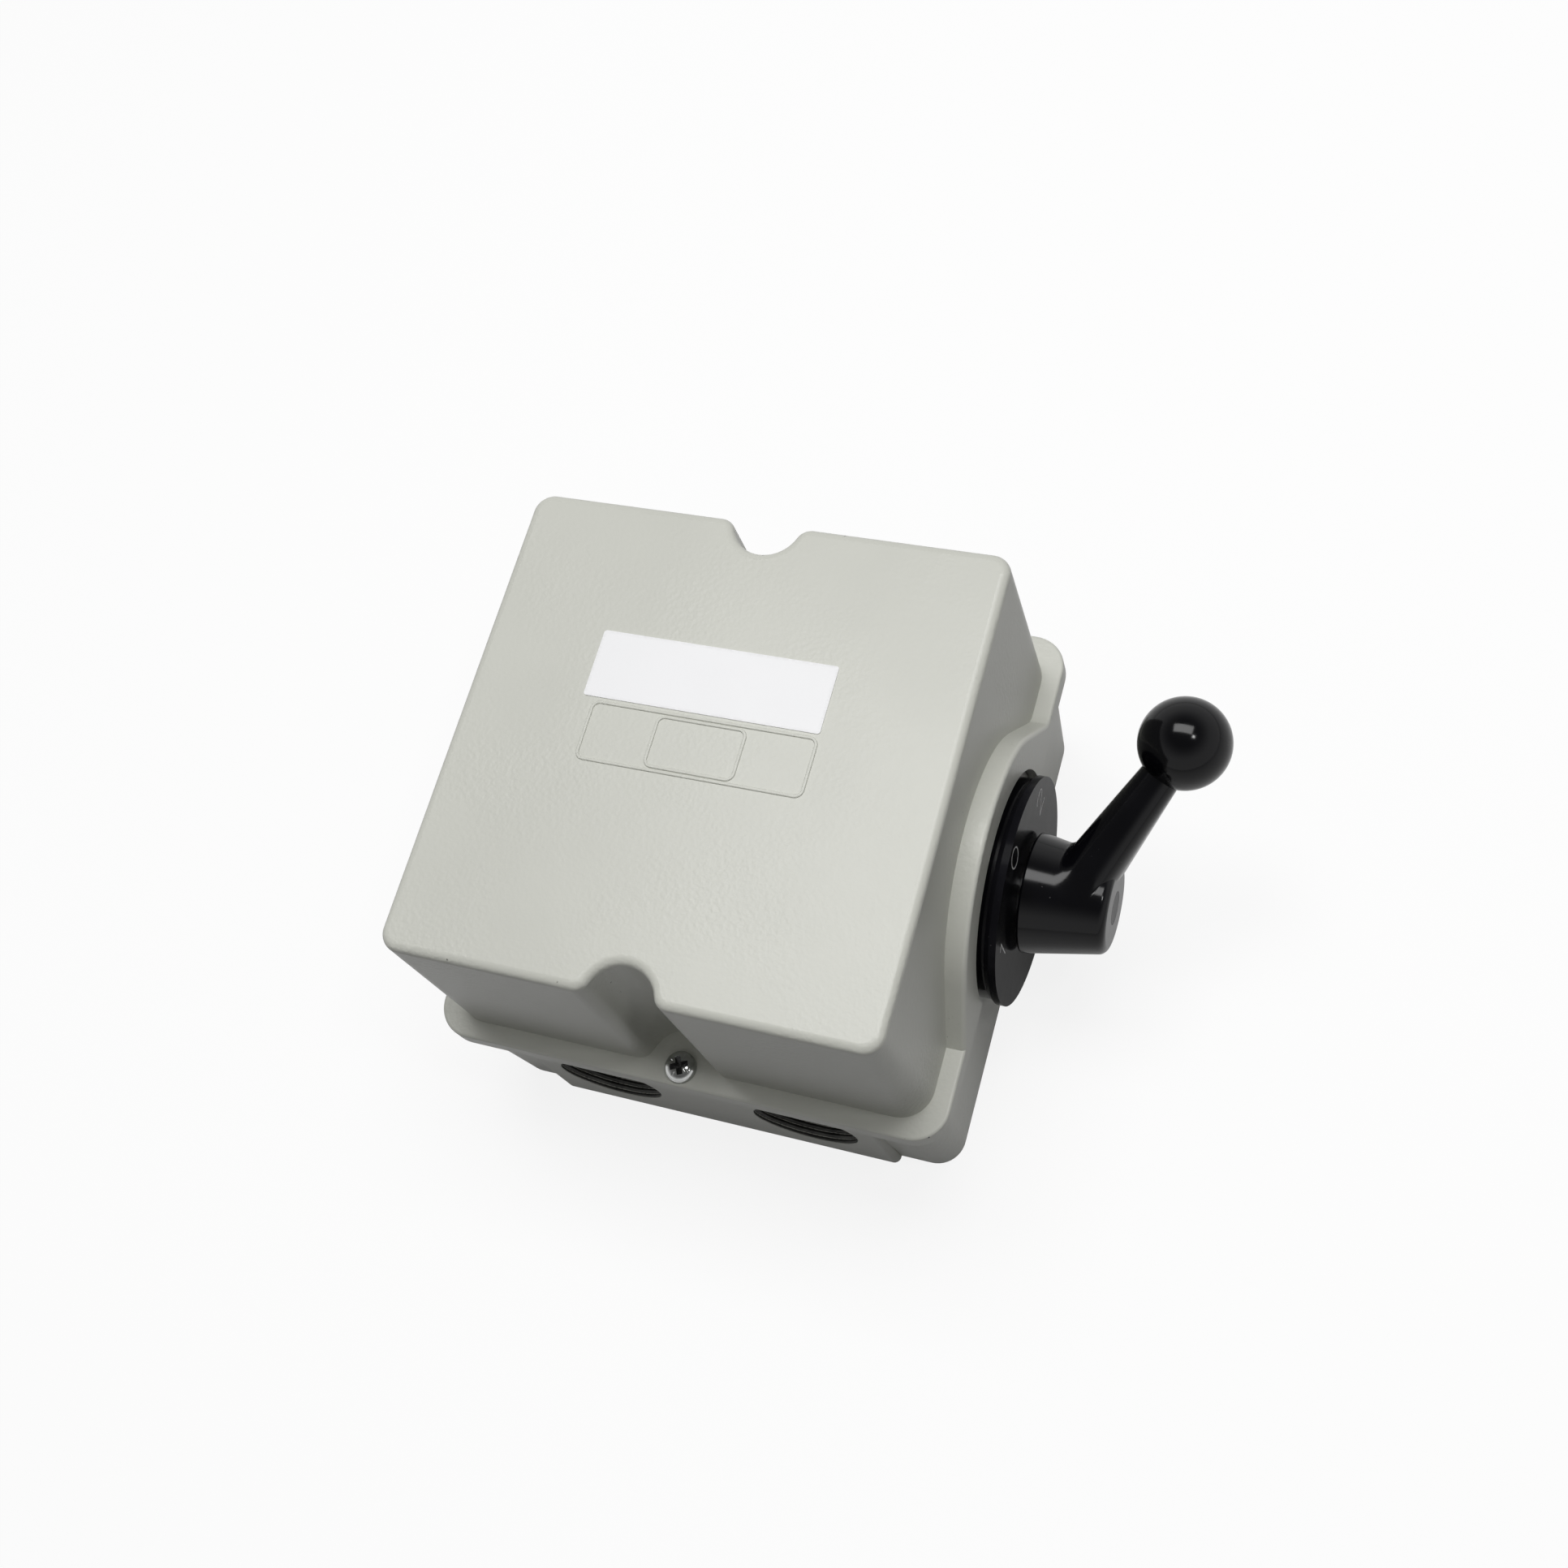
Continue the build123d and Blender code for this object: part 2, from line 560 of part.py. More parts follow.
def make_dial_cup():
    with BuildPart() as cup:
        with BuildSketch(station(SEAT_X)):
            Circle(DIAL_CUP_R)
        extrude(amount=DIAL_CUP_DEPTH)
        drill(station(CUP_FRONT_X), [(0, 0)], DIAL_CUP_R - DIAL_CUP_WALL, DIAL_CUP_DEPTH - DIAL_CUP_FLOOR)
        drill(station(CUP_FRONT_X), [(0, 0)], SLEEVE_R + SEAL_LIP_GAP, DIAL_CUP_DEPTH)
        drill(station(CUP_FRONT_X), WALL_SCREW_PLACES, WALL_SCREW_R + THREAD_CLEARANCE, DIAL_CUP_DEPTH)
    finish(cup.part, "dial_cup")


def make_dial_disc():
    spigot_r = DIAL_CUP_R - DIAL_CUP_WALL - SEAL_CLEARANCE
    with BuildPart() as disc:
        with BuildSketch(station(CUP_FRONT_X)):
            Circle(DIAL_DISC_R)
        extrude(amount=DIAL_DISC_THICKNESS)
        back_edge = disc.faces().sort_by(Axis.X)[0].edges()
        chamfer(back_edge, DIAL_DISC_THICKNESS - DIAL_DISC_EDGE, DIAL_DISC_R - DIAL_CUP_R)
        # ring that clips into the cup
        with BuildSketch(station(CUP_FRONT_X)):
            Circle(spigot_r)
            Circle(spigot_r - DIAL_SPIGOT, mode=Mode.SUBTRACT)
        extrude(amount=-DIAL_SPIGOT)
        drill(station(DIAL_FACE_X), [(0, 0)], SLEEVE_R + SEAL_LIP_GAP, DIAL_DISC_THICKNESS)
    finish(disc.part, "dial_disc")


def make_wall_screws():
    with BuildPart() as screws:
        with BuildSketch(station(SEAT_X + DIAL_CUP_FLOOR)):
            with Locations(*WALL_SCREW_PLACES):
                Circle(WALL_SCREW_HEAD_R)
        extrude(amount=WALL_SCREW_HEAD)
        with BuildSketch(station(PLATE_X)):
            with Locations(*WALL_SCREW_PLACES):
                Circle(WALL_SCREW_R)
        extrude(amount=SEAT_X + DIAL_CUP_FLOOR - PLATE_X)
    finish(screws.part, "wall_screws")


def make_ring(name, start_x, end_x, outer_r, inner_r):
    with BuildPart() as ring:
        with BuildSketch(station(start_x)):
            Circle(outer_r)
            Circle(inner_r, mode=Mode.SUBTRACT)
        extrude(amount=end_x - start_x)
    finish(ring.part, name)


def make_mounting_plate():
    with BuildPart() as plate:
        with BuildSketch(station(PLATE_X)):
            RectangleRounded(2 * BODY_R, 2 * BODY_R, PLATE_CORNER_R)
        extrude(amount=PLATE_THICKNESS)
        face = station(SEAT_INNER_X)
        drill(face, [(0, 0)], WALL_BORE_R, PLATE_THICKNESS)
        drill(face, WALL_SCREW_PLACES, WALL_SCREW_R + THREAD_CLEARANCE, PLATE_THICKNESS)
        drill(face, TIE_PLACES, TIE_R + THREAD_CLEARANCE, PLATE_THICKNESS)
        drill(face, STOP_PIN_PLACES, STOP_PIN_R, PLATE_THICKNESS)
    finish(plate.part, "mounting_plate")


# ---- lever ----


def arm_cone():
    """The lever's tapered arm, from the switch axis to its end inside the ball."""
    a = radians(LEVER_ANGLE)
    foot = Vector(HUB_X + ARM_FOOT, 0, AXIS_HEIGHT)
    ball = Vector(BALL_CENTRE_X, ARM_REACH * sin(a), AXIS_HEIGHT + ARM_REACH * cos(a))
    along = ball - foot
    start = Plane(origin=foot, x_dir=along.cross(Vector(1, 0, 0)), z_dir=along)
    with BuildPart() as cone:
        with BuildSketch(start):
            Circle(ARM_ROOT_R)
        with BuildSketch(start.offset(along.length - ARM_TIP_IN_BALL)):
            Circle(ARM_TIP_R)
        loft()
    return cone.part, ball


def make_handle():
    arm, ball_centre = arm_cone()
    with BuildPart() as handle:
        with BuildSketch(station(HUB_X)):
            Circle(HUB_R)
        with BuildSketch(station(HUB_END_X)):
            Circle(HUB_END_R)
        loft()
        fillet(handle.faces().sort_by(Axis.X)[-1].edges(), HUB_EDGE_R)
        fillet(handle.faces().sort_by(Axis.X)[0].edges(), HUB_FOOT_R)
        add(arm)
        fillet(handle.edges(Select.NEW), ARM_BLEND_R)
        # bore for the sleeve, socket for the shaft, screw hole and the cap's recess
        drill(station(SLEEVE_END_X), [(0, 0)], SLEEVE_R, SLEEVE_IN_HUB)
        with BuildSketch(turned(SLEEVE_END_X, LEVER_ANGLE)):
            Rectangle(SHAFT_SOCKET, SHAFT_SOCKET)
        extrude(amount=SHAFT_END_X - SLEEVE_END_X, mode=Mode.SUBTRACT)
        drill(station(CAP_X), [(0, 0)], HANDLE_SCREW_R + SCREW_CLEARANCE, CAP_X - SHAFT_END_X)
        drill(station(CAP_X), [(0, 0)], HANDLE_SCREW_HEAD_R + SCREW_CLEARANCE, CAP_X - HANDLE_SCREW_SEAT_X)
        drill(station(HUB_END_X), [(0, 0)], CAP_R + SEAL_CLEARANCE, CAP_THICKNESS)
    finish(handle.part, "handle")

    with BuildPart() as ball:
        with Locations(ball_centre):
            Sphere(BALL_R)
        add(arm, mode=Mode.SUBTRACT)
    finish(ball.part, "ball_knob")


def make_handle_cap():
    with BuildPart() as cap:
        with BuildSketch(station(CAP_X)):
            Circle(CAP_R)
        extrude(amount=CAP_THICKNESS)
    finish(cap.part, "handle_cap")


def make_handle_screw():
    with BuildPart() as screw:
        with BuildSketch(station(HANDLE_SCREW_SEAT_X)):
            Circle(HANDLE_SCREW_HEAD_R)
        extrude(amount=HANDLE_SCREW_HEAD)
        with BuildSketch(station(HANDLE_SCREW_SEAT_X)):
            Circle(HANDLE_SCREW_R)
        extrude(amount=-(HANDLE_SCREW_SEAT_X - SHAFT_END_X + HANDLE_SCREW_IN_SHAFT))
    finish(screw.part, "handle_screw")


def make_shaft():
    with BuildPart() as shaft:
        with BuildSketch(turned(SHAFT_START_X, LEVER_ANGLE)):
            Rectangle(SHAFT_SIDE, SHAFT_SIDE)
        extrude(amount=SHAFT_END_X - SHAFT_START_X)
        depth = HANDLE_SCREW_IN_SHAFT + HOLE_OVERRUN
        drill(station(SHAFT_END_X), [(0, 0)], HANDLE_SCREW_R + THREAD_CLEARANCE, depth)
    finish(shaft.part, "shaft")


def make_sleeve():
    with BuildPart() as sleeve:
        with BuildSketch(station(PLATE_X)):
            Circle(SLEEVE_R)
        extrude(amount=SLEEVE_END_X - PLATE_X)
        with BuildSketch(turned(PLATE_X, LEVER_ANGLE)):
            Rectangle(SHAFT_SOCKET, SHAFT_SOCKET)
        extrude(amount=SLEEVE_END_X - PLATE_X, mode=Mode.SUBTRACT)
    finish(sleeve.part, "drive_sleeve")


def make_shaft_clip():
    with BuildPart() as clip:
        with BuildSketch(turned(CLIP_X, LEVER_ANGLE)):
            Circle(CLIP_R)
            Rectangle(SHAFT_SOCKET, SHAFT_SOCKET, mode=Mode.SUBTRACT)
        extrude(amount=CLIP_THICKNESS)
    finish(clip.part, "shaft_clip")


# ---- detent and end stops ----


def make_detent_housing():
    with BuildPart() as housing:
        with BuildSketch(station(DETENT_X)):
            Circle(BODY_R)
        extrude(amount=DETENT_LENGTH)
        drill(station(PLATE_X), [(0, 0)], CAVITY_R, DETENT_LENGTH - DETENT_WALL)
        drill(station(PLATE_X), [(0, 0)], ROTOR_HUB_R + SEAL_LIP_GAP, DETENT_LENGTH)
        drill(station(PLATE_X), TIE_PLACES, TIE_R + SCREW_CLEARANCE, DETENT_LENGTH)
        # slots that hold the ends of the two leaf springs, open towards the plate
        with BuildSketch(station(PLATE_X)):
            with Locations(*[(0, side * SPRING_OFFSET) for side in (-1, 1)]):
                Rectangle(SPRING_LENGTH + 2 * SEAL_CLEARANCE, SPRING_THICKNESS + 2 * SEAL_CLEARANCE)
        extrude(amount=-(PLATE_X - DETENT_BLOCK_X), mode=Mode.SUBTRACT)
    finish(housing.part, "detent_housing")


def make_detent_springs():
    with BuildPart() as springs:
        with BuildSketch(station(DETENT_BLOCK_X)):
            with Locations(*[(0, side * SPRING_OFFSET) for side in (-1, 1)]):
                Rectangle(SPRING_LENGTH, SPRING_THICKNESS)
        extrude(amount=SPRING_WIDTH)
    finish(springs.part, "detent_springs")


def make_detent_block():
    with BuildPart() as block:
        with BuildSketch(turned(DETENT_BLOCK_X, LEVER_ANGLE)):
            RegularPolygon(DETENT_FLATS / 2, 6, major_radius=False)
            Rectangle(SHAFT_SOCKET, SHAFT_SOCKET, mode=Mode.SUBTRACT)
        extrude(amount=DETENT_BLOCK_LENGTH)
    finish(block.part, "detent_block")


def make_stop_arm():
    with BuildPart() as arm:
        with BuildSketch(turned(STOP_ARM_X, LEVER_ANGLE)):
            Circle(STOP_ARM_WIDTH)
            with Locations((0, -STOP_ARM_REACH / 2)):
                Rectangle(STOP_ARM_WIDTH, STOP_ARM_REACH)
            Rectangle(SHAFT_SOCKET, SHAFT_SOCKET, mode=Mode.SUBTRACT)
        extrude(amount=STOP_ARM_THICKNESS)
    finish(arm.part, "stop_arm")


def make_stop_pins():
    with BuildPart() as pins:
        with BuildSketch(station(STOP_ARM_X)):
            with Locations(*STOP_PIN_PLACES):
                Circle(STOP_PIN_R)
        extrude(amount=SEAT_INNER_X - STOP_ARM_X)
    finish(pins.part, "stop_pins")


# ---- contact wafers ----


def make_chamber(number, x):
    with BuildPart() as chamber:
        with BuildSketch(station(x)):
            Circle(BODY_R)
        extrude(amount=WAFER_LENGTH)
        drill(station(x + WAFER_LENGTH), [(0, 0)], CAVITY_R, WAFER_LENGTH - WAFER_FLOOR)
        drill(station(x + WAFER_LENGTH), [(0, 0)], ROTOR_HUB_R + SEAL_LIP_GAP, WAFER_LENGTH)
        drill(station(x + WAFER_LENGTH), TIE_PLACES, TIE_R + SCREW_CLEARANCE, WAFER_LENGTH)
        # slots on both sides for the fixed contacts
        with BuildSketch(station(x + KNIFE_OFFSET - KNIFE_SLOT_GAP)):
            Rectangle(2 * TERMINAL_RADIUS, KNIFE_WIDTH + 2 * KNIFE_SLOT_GAP)
        extrude(amount=KNIFE_THICKNESS + 2 * KNIFE_SLOT_GAP, mode=Mode.SUBTRACT)
    finish(chamber.part, f"chamber_{number}")


def make_rotor(number, x):
    with BuildPart() as rotor:
        with BuildSketch(station(x + ROTOR_END_GAP)):
            Circle(ROTOR_HUB_R)
        extrude(amount=WAFER_LENGTH - 2 * ROTOR_END_GAP)
        # discs on both sides of the moving contact
        for disc_x in (x + BLADE_START - ROTOR_DISC, x + BLADE_END):
            with BuildSketch(station(disc_x)):
                Circle(ROTOR_DISC_R)
            extrude(amount=ROTOR_DISC)
        with BuildSketch(turned(x, LEVER_ANGLE)):
            Rectangle(SHAFT_SOCKET, SHAFT_SOCKET)
        extrude(amount=WAFER_LENGTH, mode=Mode.SUBTRACT)
    finish(rotor.part, f"rotor_{number}")


def make_bridge(number, x, closing_steps):
    """Moving contact: two layers of blades on one ring, lying across the box where they close."""
    with BuildPart() as bridge:
        with BuildSketch(station(x + BLADE_START)):
            Circle(ROTOR_HUB_R + BRIDGE_RING)
        extrude(amount=BLADE_END - BLADE_START)
        for layer_x in (x + BLADE_START, x + BLADE_END - BLADE_THICKNESS):
            for step in closing_steps:
                with BuildSketch(turned(layer_x, LEVER_ANGLE + 90 - step * STEP_ANGLE)):
                    SlotOverall(2 * BLADE_REACH, BLADE_WIDTH, rotation=90)
                extrude(amount=BLADE_THICKNESS)
        drill(station(x + BLADE_END), [(0, 0)], ROTOR_HUB_R, BLADE_END - BLADE_START)
    finish(bridge.part, f"bridge_{number}")


def make_contacts(number, x):
    """Fixed contacts: a knife through each side of the chamber, with a clamp block outside."""
    knife_x = x + KNIFE_OFFSET
    block_x = knife_x + (KNIFE_THICKNESS - TERMINAL_WIDTH) / 2
    with BuildPart() as contacts:
        for side in (-1, 1):
            with BuildSketch(station(knife_x)):
                with Locations((side * (KNIFE_TIP_RADIUS + KNIFE_END_RADIUS) / 2, 0)):
                    Rectangle(KNIFE_END_RADIUS - KNIFE_TIP_RADIUS, KNIFE_WIDTH)
            extrude(amount=KNIFE_THICKNESS)
            with BuildSketch(station(block_x)):
                with Locations((side * (TERMINAL_RADIUS + TERMINAL_LENGTH / 2), 0)):
                    Rectangle(TERMINAL_LENGTH, TERMINAL_HEIGHT)
            extrude(amount=TERMINAL_WIDTH)
            # wire hole from the outer end
            mouth = Plane(
                origin=(block_x + TERMINAL_WIDTH / 2, side * TERMINAL_END, AXIS_HEIGHT),
                x_dir=(1, 0, 0),
                z_dir=(0, side, 0),
            )
            drill(mouth, [(0, 0)], TERMINAL_WIRE_R, TERMINAL_LENGTH - TERMINAL_WEB)
        places = [(block_x + TERMINAL_WIDTH / 2, side * TERMINAL_SCREW_Y) for side in (-1, 1)]
        top = level(AXIS_HEIGHT + TERMINAL_HEIGHT / 2)
        drill(top, places, TERMINAL_SCREW_R + THREAD_CLEARANCE, TERMINAL_HEIGHT / 2)
    finish(contacts.part, f"contacts_{number}")


def make_terminal_screws():
    block_x = KNIFE_OFFSET + KNIFE_THICKNESS / 2
    places = [(x + block_x, side * TERMINAL_SCREW_Y) for x in WAFER_X for side in (-1, 1)]
    top = AXIS_HEIGHT + TERMINAL_HEIGHT / 2
    with BuildPart() as screws:
        with BuildSketch(level(top)):
            with Locations(*places):
                Circle(TERMINAL_HEAD_R)
        extrude(amount=TERMINAL_HEAD)
        with BuildSketch(level(top + TERMINAL_HEAD)):
            with Locations(*places):
                Rectangle(2 * TERMINAL_HEAD_R, TERMINAL_SLOT_WIDTH)
        extrude(amount=-TERMINAL_SLOT_DEPTH, mode=Mode.SUBTRACT)
        with BuildSketch(level(top)):
            with Locations(*places):
                Circle(TERMINAL_SCREW_R)
        extrude(amount=-TERMINAL_SCREW_LENGTH)
    finish(screws.part, "terminal_screws")


def make_rear_plate():
    with BuildPart() as plate:
        with BuildSketch(station(REAR_X)):
            RectangleRounded(2 * ROTOR_DISC_R, 2 * BODY_R, PLATE_CORNER_R)
        extrude(amount=REAR_PLATE)
        drill(station(REAR_X + REAR_PLATE), [(0, 0)], REAR_BORE_R, REAR_PLATE)
        drill(station(REAR_X + REAR_PLATE), TIE_PLACES, TIE_R + SCREW_CLEARANCE, REAR_PLATE)
    finish(plate.part, "rear_plate")


def make_tie_studs():
    with BuildPart() as studs:
        with BuildSketch(station(REAR_X - TIE_NUT - STUD_END)):
            with Locations(*TIE_PLACES):
                Circle(TIE_R)
        extrude(amount=SEAT_INNER_X - REAR_X + TIE_NUT + STUD_END)
    finish(studs.part, "tie_studs")

    with BuildPart() as nuts:
        with BuildSketch(station(REAR_X - TIE_NUT)):
            with Locations(*TIE_PLACES):
                RegularPolygon(TIE_NUT_R, 6)
                Circle(TIE_R + THREAD_CLEARANCE, mode=Mode.SUBTRACT)
        extrude(amount=TIE_NUT)
    finish(nuts.part, "tie_nuts")


def make_earth_terminal():
    with BuildPart() as washer:
        with BuildSketch(level(EARTH_BOSS_HEIGHT)):
            with Locations((EARTH_X, 0)):
                Circle(EARTH_WASHER_R)
                Circle(EARTH_SCREW_R + THREAD_CLEARANCE, mode=Mode.SUBTRACT)
        extrude(amount=EARTH_WASHER)
    finish(washer.part, "earth_washer")

    with BuildPart() as screw:
        with BuildSketch(level(EARTH_BOSS_HEIGHT + EARTH_WASHER)):
            with Locations((EARTH_X, 0)):
                Circle(EARTH_HEAD_R)
        extrude(amount=EARTH_HEAD)
        with BuildSketch(level(EARTH_BOSS_HEIGHT + EARTH_WASHER)):
            with Locations((EARTH_X, 0)):
                Circle(EARTH_SCREW_R)
        extrude(amount=-EARTH_SCREW_LENGTH)
    finish(screw.part, "earth_screw")


make_base()
make_gasket()
make_lid()
make_label()
make_lid_screws()

make_dial_cup()
make_dial_disc()
make_wall_screws()
make_ring("shaft_seal", SEAT_X - SEAL_THICKNESS, SEAT_X, WALL_BORE_R, SLEEVE_R + SEAL_LIP_GAP)
bush_end = SEAT_X - SEAL_THICKNESS - SEAL_CLEARANCE
make_ring("bush", PLATE_X, bush_end, WALL_BORE_R, SLEEVE_R + RUNNING_CLEARANCE)
make_mounting_plate()

make_handle()
make_handle_cap()
make_handle_screw()
make_shaft()
make_sleeve()
make_shaft_clip()

make_detent_housing()
make_detent_springs()
make_detent_block()
make_stop_arm()
make_stop_pins()

for number, wafer_x in enumerate(WAFER_X, start=1):
    make_chamber(number, wafer_x)
    make_rotor(number, wafer_x)
    make_bridge(number, wafer_x, CLOSING_STEPS[(number - 1) % len(CLOSING_STEPS)])
    make_contacts(number, wafer_x)
make_terminal_screws()
make_rear_plate()
make_tie_studs()
make_earth_terminal()
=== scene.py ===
"""Finishes and fine pieces for a rotary motor switch in a cast two-part enclosure.

The packed model is the fixed frame. Every finish is a node material, and every new piece is a
surface worked out with numpy, in metres, in the same place as the node or mount that it belongs to.
"""

import json
from functools import cached_property

import bpy
import numpy as np
from bpy.props import FloatProperty, FloatVectorProperty, PointerProperty
from mathutils import Matrix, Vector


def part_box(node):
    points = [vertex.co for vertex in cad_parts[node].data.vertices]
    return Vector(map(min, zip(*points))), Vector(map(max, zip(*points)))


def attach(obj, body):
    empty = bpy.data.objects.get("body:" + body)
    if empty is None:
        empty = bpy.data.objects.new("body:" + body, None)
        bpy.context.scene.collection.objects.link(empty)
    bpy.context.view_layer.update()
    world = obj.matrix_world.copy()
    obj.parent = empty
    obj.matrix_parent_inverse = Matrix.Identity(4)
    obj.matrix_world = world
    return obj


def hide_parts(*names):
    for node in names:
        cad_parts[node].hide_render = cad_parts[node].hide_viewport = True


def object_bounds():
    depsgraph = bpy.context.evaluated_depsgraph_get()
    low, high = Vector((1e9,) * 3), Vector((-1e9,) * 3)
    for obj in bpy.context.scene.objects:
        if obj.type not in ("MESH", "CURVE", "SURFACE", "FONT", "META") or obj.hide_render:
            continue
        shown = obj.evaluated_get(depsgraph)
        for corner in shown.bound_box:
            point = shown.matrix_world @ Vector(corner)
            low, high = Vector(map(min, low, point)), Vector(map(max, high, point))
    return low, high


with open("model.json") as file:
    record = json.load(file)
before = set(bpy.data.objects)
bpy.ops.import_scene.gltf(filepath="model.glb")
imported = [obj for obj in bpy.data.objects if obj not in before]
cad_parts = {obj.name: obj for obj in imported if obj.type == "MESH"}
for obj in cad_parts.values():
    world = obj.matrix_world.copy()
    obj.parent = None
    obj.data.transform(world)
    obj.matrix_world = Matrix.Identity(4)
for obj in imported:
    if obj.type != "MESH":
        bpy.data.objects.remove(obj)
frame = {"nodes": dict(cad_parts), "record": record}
cad_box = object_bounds()

MM = 0.001
NODES = frame["nodes"]
RECORD = frame["record"]
SLOT_OF = {row["node"]: row["material_slot"] for row in RECORD["subparts"]}
MOUNTS = {row["name"]: row for row in RECORD["mounts"]}
ENTRY_RADIUS = MOUNTS["cable_entry_left"]["dims"]["r_mm"] * MM
ENTRY_LENGTH = MOUNTS["cable_entry_left"]["dims"]["length_mm"] * MM
SCREW_LOW, SCREW_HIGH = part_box("lid_screws")
DISC_LOW, DISC_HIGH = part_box("dial_disc")
SWITCH_AXIS = np.array([0.5 * (DISC_LOW[k] + DISC_HIGH[k]) for k in (1, 2)])

QUARTER = np.pi / 2
LEAST_ANGLE = 0.01  # radians, so that nothing is divided by the sine of 0
SCREW_COLUMNS = 144
CROWN_ROWS = 18
CROWN_REACH = 0.985  # of the head's radius, where the rim starts
CROWN_FULLNESS = 0.55  # power of the crown's curve; under 1 is fuller
SIDE_SHARE = 0.42  # of the head's height, up to the crown
RIM_SHARES = (1.0, 1.0, 0.98, 0.94)  # of the head's radius, down to the seat
RECESS_SHARES = (0.15, 0.5, 0.8, 0.96)  # of the recess's outline, from its floor up
TIP_SHARE = 0.35  # of the shank's radius, left at the tip
PITCH_ROWS = 8  # of points, in one pitch of a screw's thread
SCREW_TURNS = (0.42, 1.1)  # radians that each screw's cross is turned by
SCREW_EDGE = 40.0  # degrees; sharper edges of a screw are not smoothed
THREAD_COLUMNS = 128
ENTRY_PITCH_ROWS = 10
ENTRY_ENDS = (0.02 * ENTRY_LENGTH, 0.98 * ENTRY_LENGTH)  # of the thread's lining
ENTRY_BACK = ENTRY_RADIUS + 0.4 * MM  # radius of the lining's far side, inside the wall
STROKE_COLUMNS = 12
STROKE_POWER = 0.6  # of the cosine across a stroke; under 1 is flatter
ARM_COLUMNS = 240
ARM_ROWS = 24
LEAST_ROOM = 0.1  # of the arm's hollow, left at the hub's end
EDGE_ROOM = 0.3  # of the arm's hollow, left on its narrow sides
HANDLE_SHARE = 0.6  # how far a curve's control points stand towards its corner
NEAR_SHARE = 0.98  # of a curve's reach, to tell its direction on the hub
SUNK_SHARES = (0.93, 0.75)  # of the hub's radius, where the arm runs on inside it
FOOT_SHARE = 0.3  # of the arm's oval, where it ends round its foot

bl_info = {
    "name": "Cast Box Motor Switch",
    "version": (1, 0, 0),
    "blender": (4, 5, 0),
    "location": "View3D > Sidebar > Motor Switch",
    "description": "Finishes, screws, lever, dial numbers and threads for a cast box motor switch",
    "category": "Object",
}


# ---------------------------------------------------------------- surfaces


def loop_faces(rows, columns, wrap_rows):
    """Four-sided faces of a grid that closes round its columns, and round its rows where asked."""
    row, column = np.meshgrid(
        np.arange(rows if wrap_rows else rows - 1), np.arange(columns), indexing="ij"
    )
    below, beside = (row + 1) % rows, (column + 1) % columns
    corners = (
        row * columns + column,
        row * columns + beside,
        below * columns + beside,
        below * columns + column,
    )
    return np.stack([c.ravel() for c in corners], axis=1)


def skin(points, wrap_rows=False):
    """Closed surface over a grid of points, (rows, columns, 3), as its places and faces. It closes
    round its columns. Its rows close on themselves, or each end row is drawn to the mean of its own
    points. The faces are turned outwards, so that the pyramids from the origin to them sum to a
    volume above 0."""
    rows, columns = points.shape[:2]
    places = points.reshape(-1, 3)
    quads = loop_faces(rows, columns, wrap_rows)
    triangles = np.zeros((0, 3), int)
    if not wrap_rows:
        count = len(places)
        places = np.vstack([places, points[0].mean(0), points[-1].mean(0)])
        here = np.arange(columns)
        beside = (here + 1) % columns
        last = (rows - 1) * columns
        first_fan = np.stack([beside, here, np.full(columns, count)], axis=1)
        last_fan = np.stack([last + here, last + beside, np.full(columns, count + 1)], axis=1)
        triangles = np.vstack([first_fan, last_fan])
    split = np.vstack([quads[:, [0, 1, 2]], quads[:, [0, 2, 3]], triangles])
    a, b, c = (places[split[:, k]] for k in range(3))
    if np.einsum("ij,ij->i", a, np.cross(b, c)).sum() < 0:
        quads, triangles = quads[:, ::-1], triangles[:, ::-1]
    return places, quads.tolist() + triangles.tolist()


def piece(name, skins, body, finish, sharp_from=35.0):
    """One object made of closed skins, smooth but for edges sharper than an angle in degrees. It
    rides on a body, and takes the finish that it is given."""
    mesh = bpy.data.meshes.new(name)
    places, faces, count = [], [], 0
    for some_places, some_faces in skins:
        places.append(some_places)
        faces += [[count + corner for corner in face] for face in some_faces]
        count += len(some_places)
    mesh.from_pydata(np.vstack(places), [], faces)
    mesh.polygons.foreach_set("use_smooth", np.ones(len(faces), bool))
    mesh.set_sharp_from_angle(angle=np.radians(sharp_from))
    mesh.materials.append(finish)
    mesh.update()
    made = bpy.data.objects.new(name, mesh)
    bpy.context.scene.collection.objects.link(made)
    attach(made, body)
    return made


def turned_rows(radius, height, turn):
    """Points (rows, columns, 3) about the Z axis: x and y are the radius times the cosine and sine
    of the turn, z is the height."""
    level = np.broadcast_to(height, radius.shape)
    return np.stack([radius * np.cos(turn), radius * np.sin(turn), level], axis=2)


def turns(count):
    """Angles of one full turn, without its end."""
    return np.linspace(0, 2 * np.pi, count, endpoint=False)


def recess_outline(turn, size):
    """Radius of the cross recess, and the angle from the middle of the nearest of its four arms.
    The radius is the lesser of reach / cos a and half an arm's width / sin a, at that angle a."""
    from_arm = np.abs((turn + QUARTER / 2) % QUARTER - QUARTER / 2)
    beside = 0.5 * size.recess_arm / np.sin(np.maximum(from_arm, LEAST_ANGLE))
    return np.minimum(size.recess_radius / np.cos(from_arm), beside), from_arm


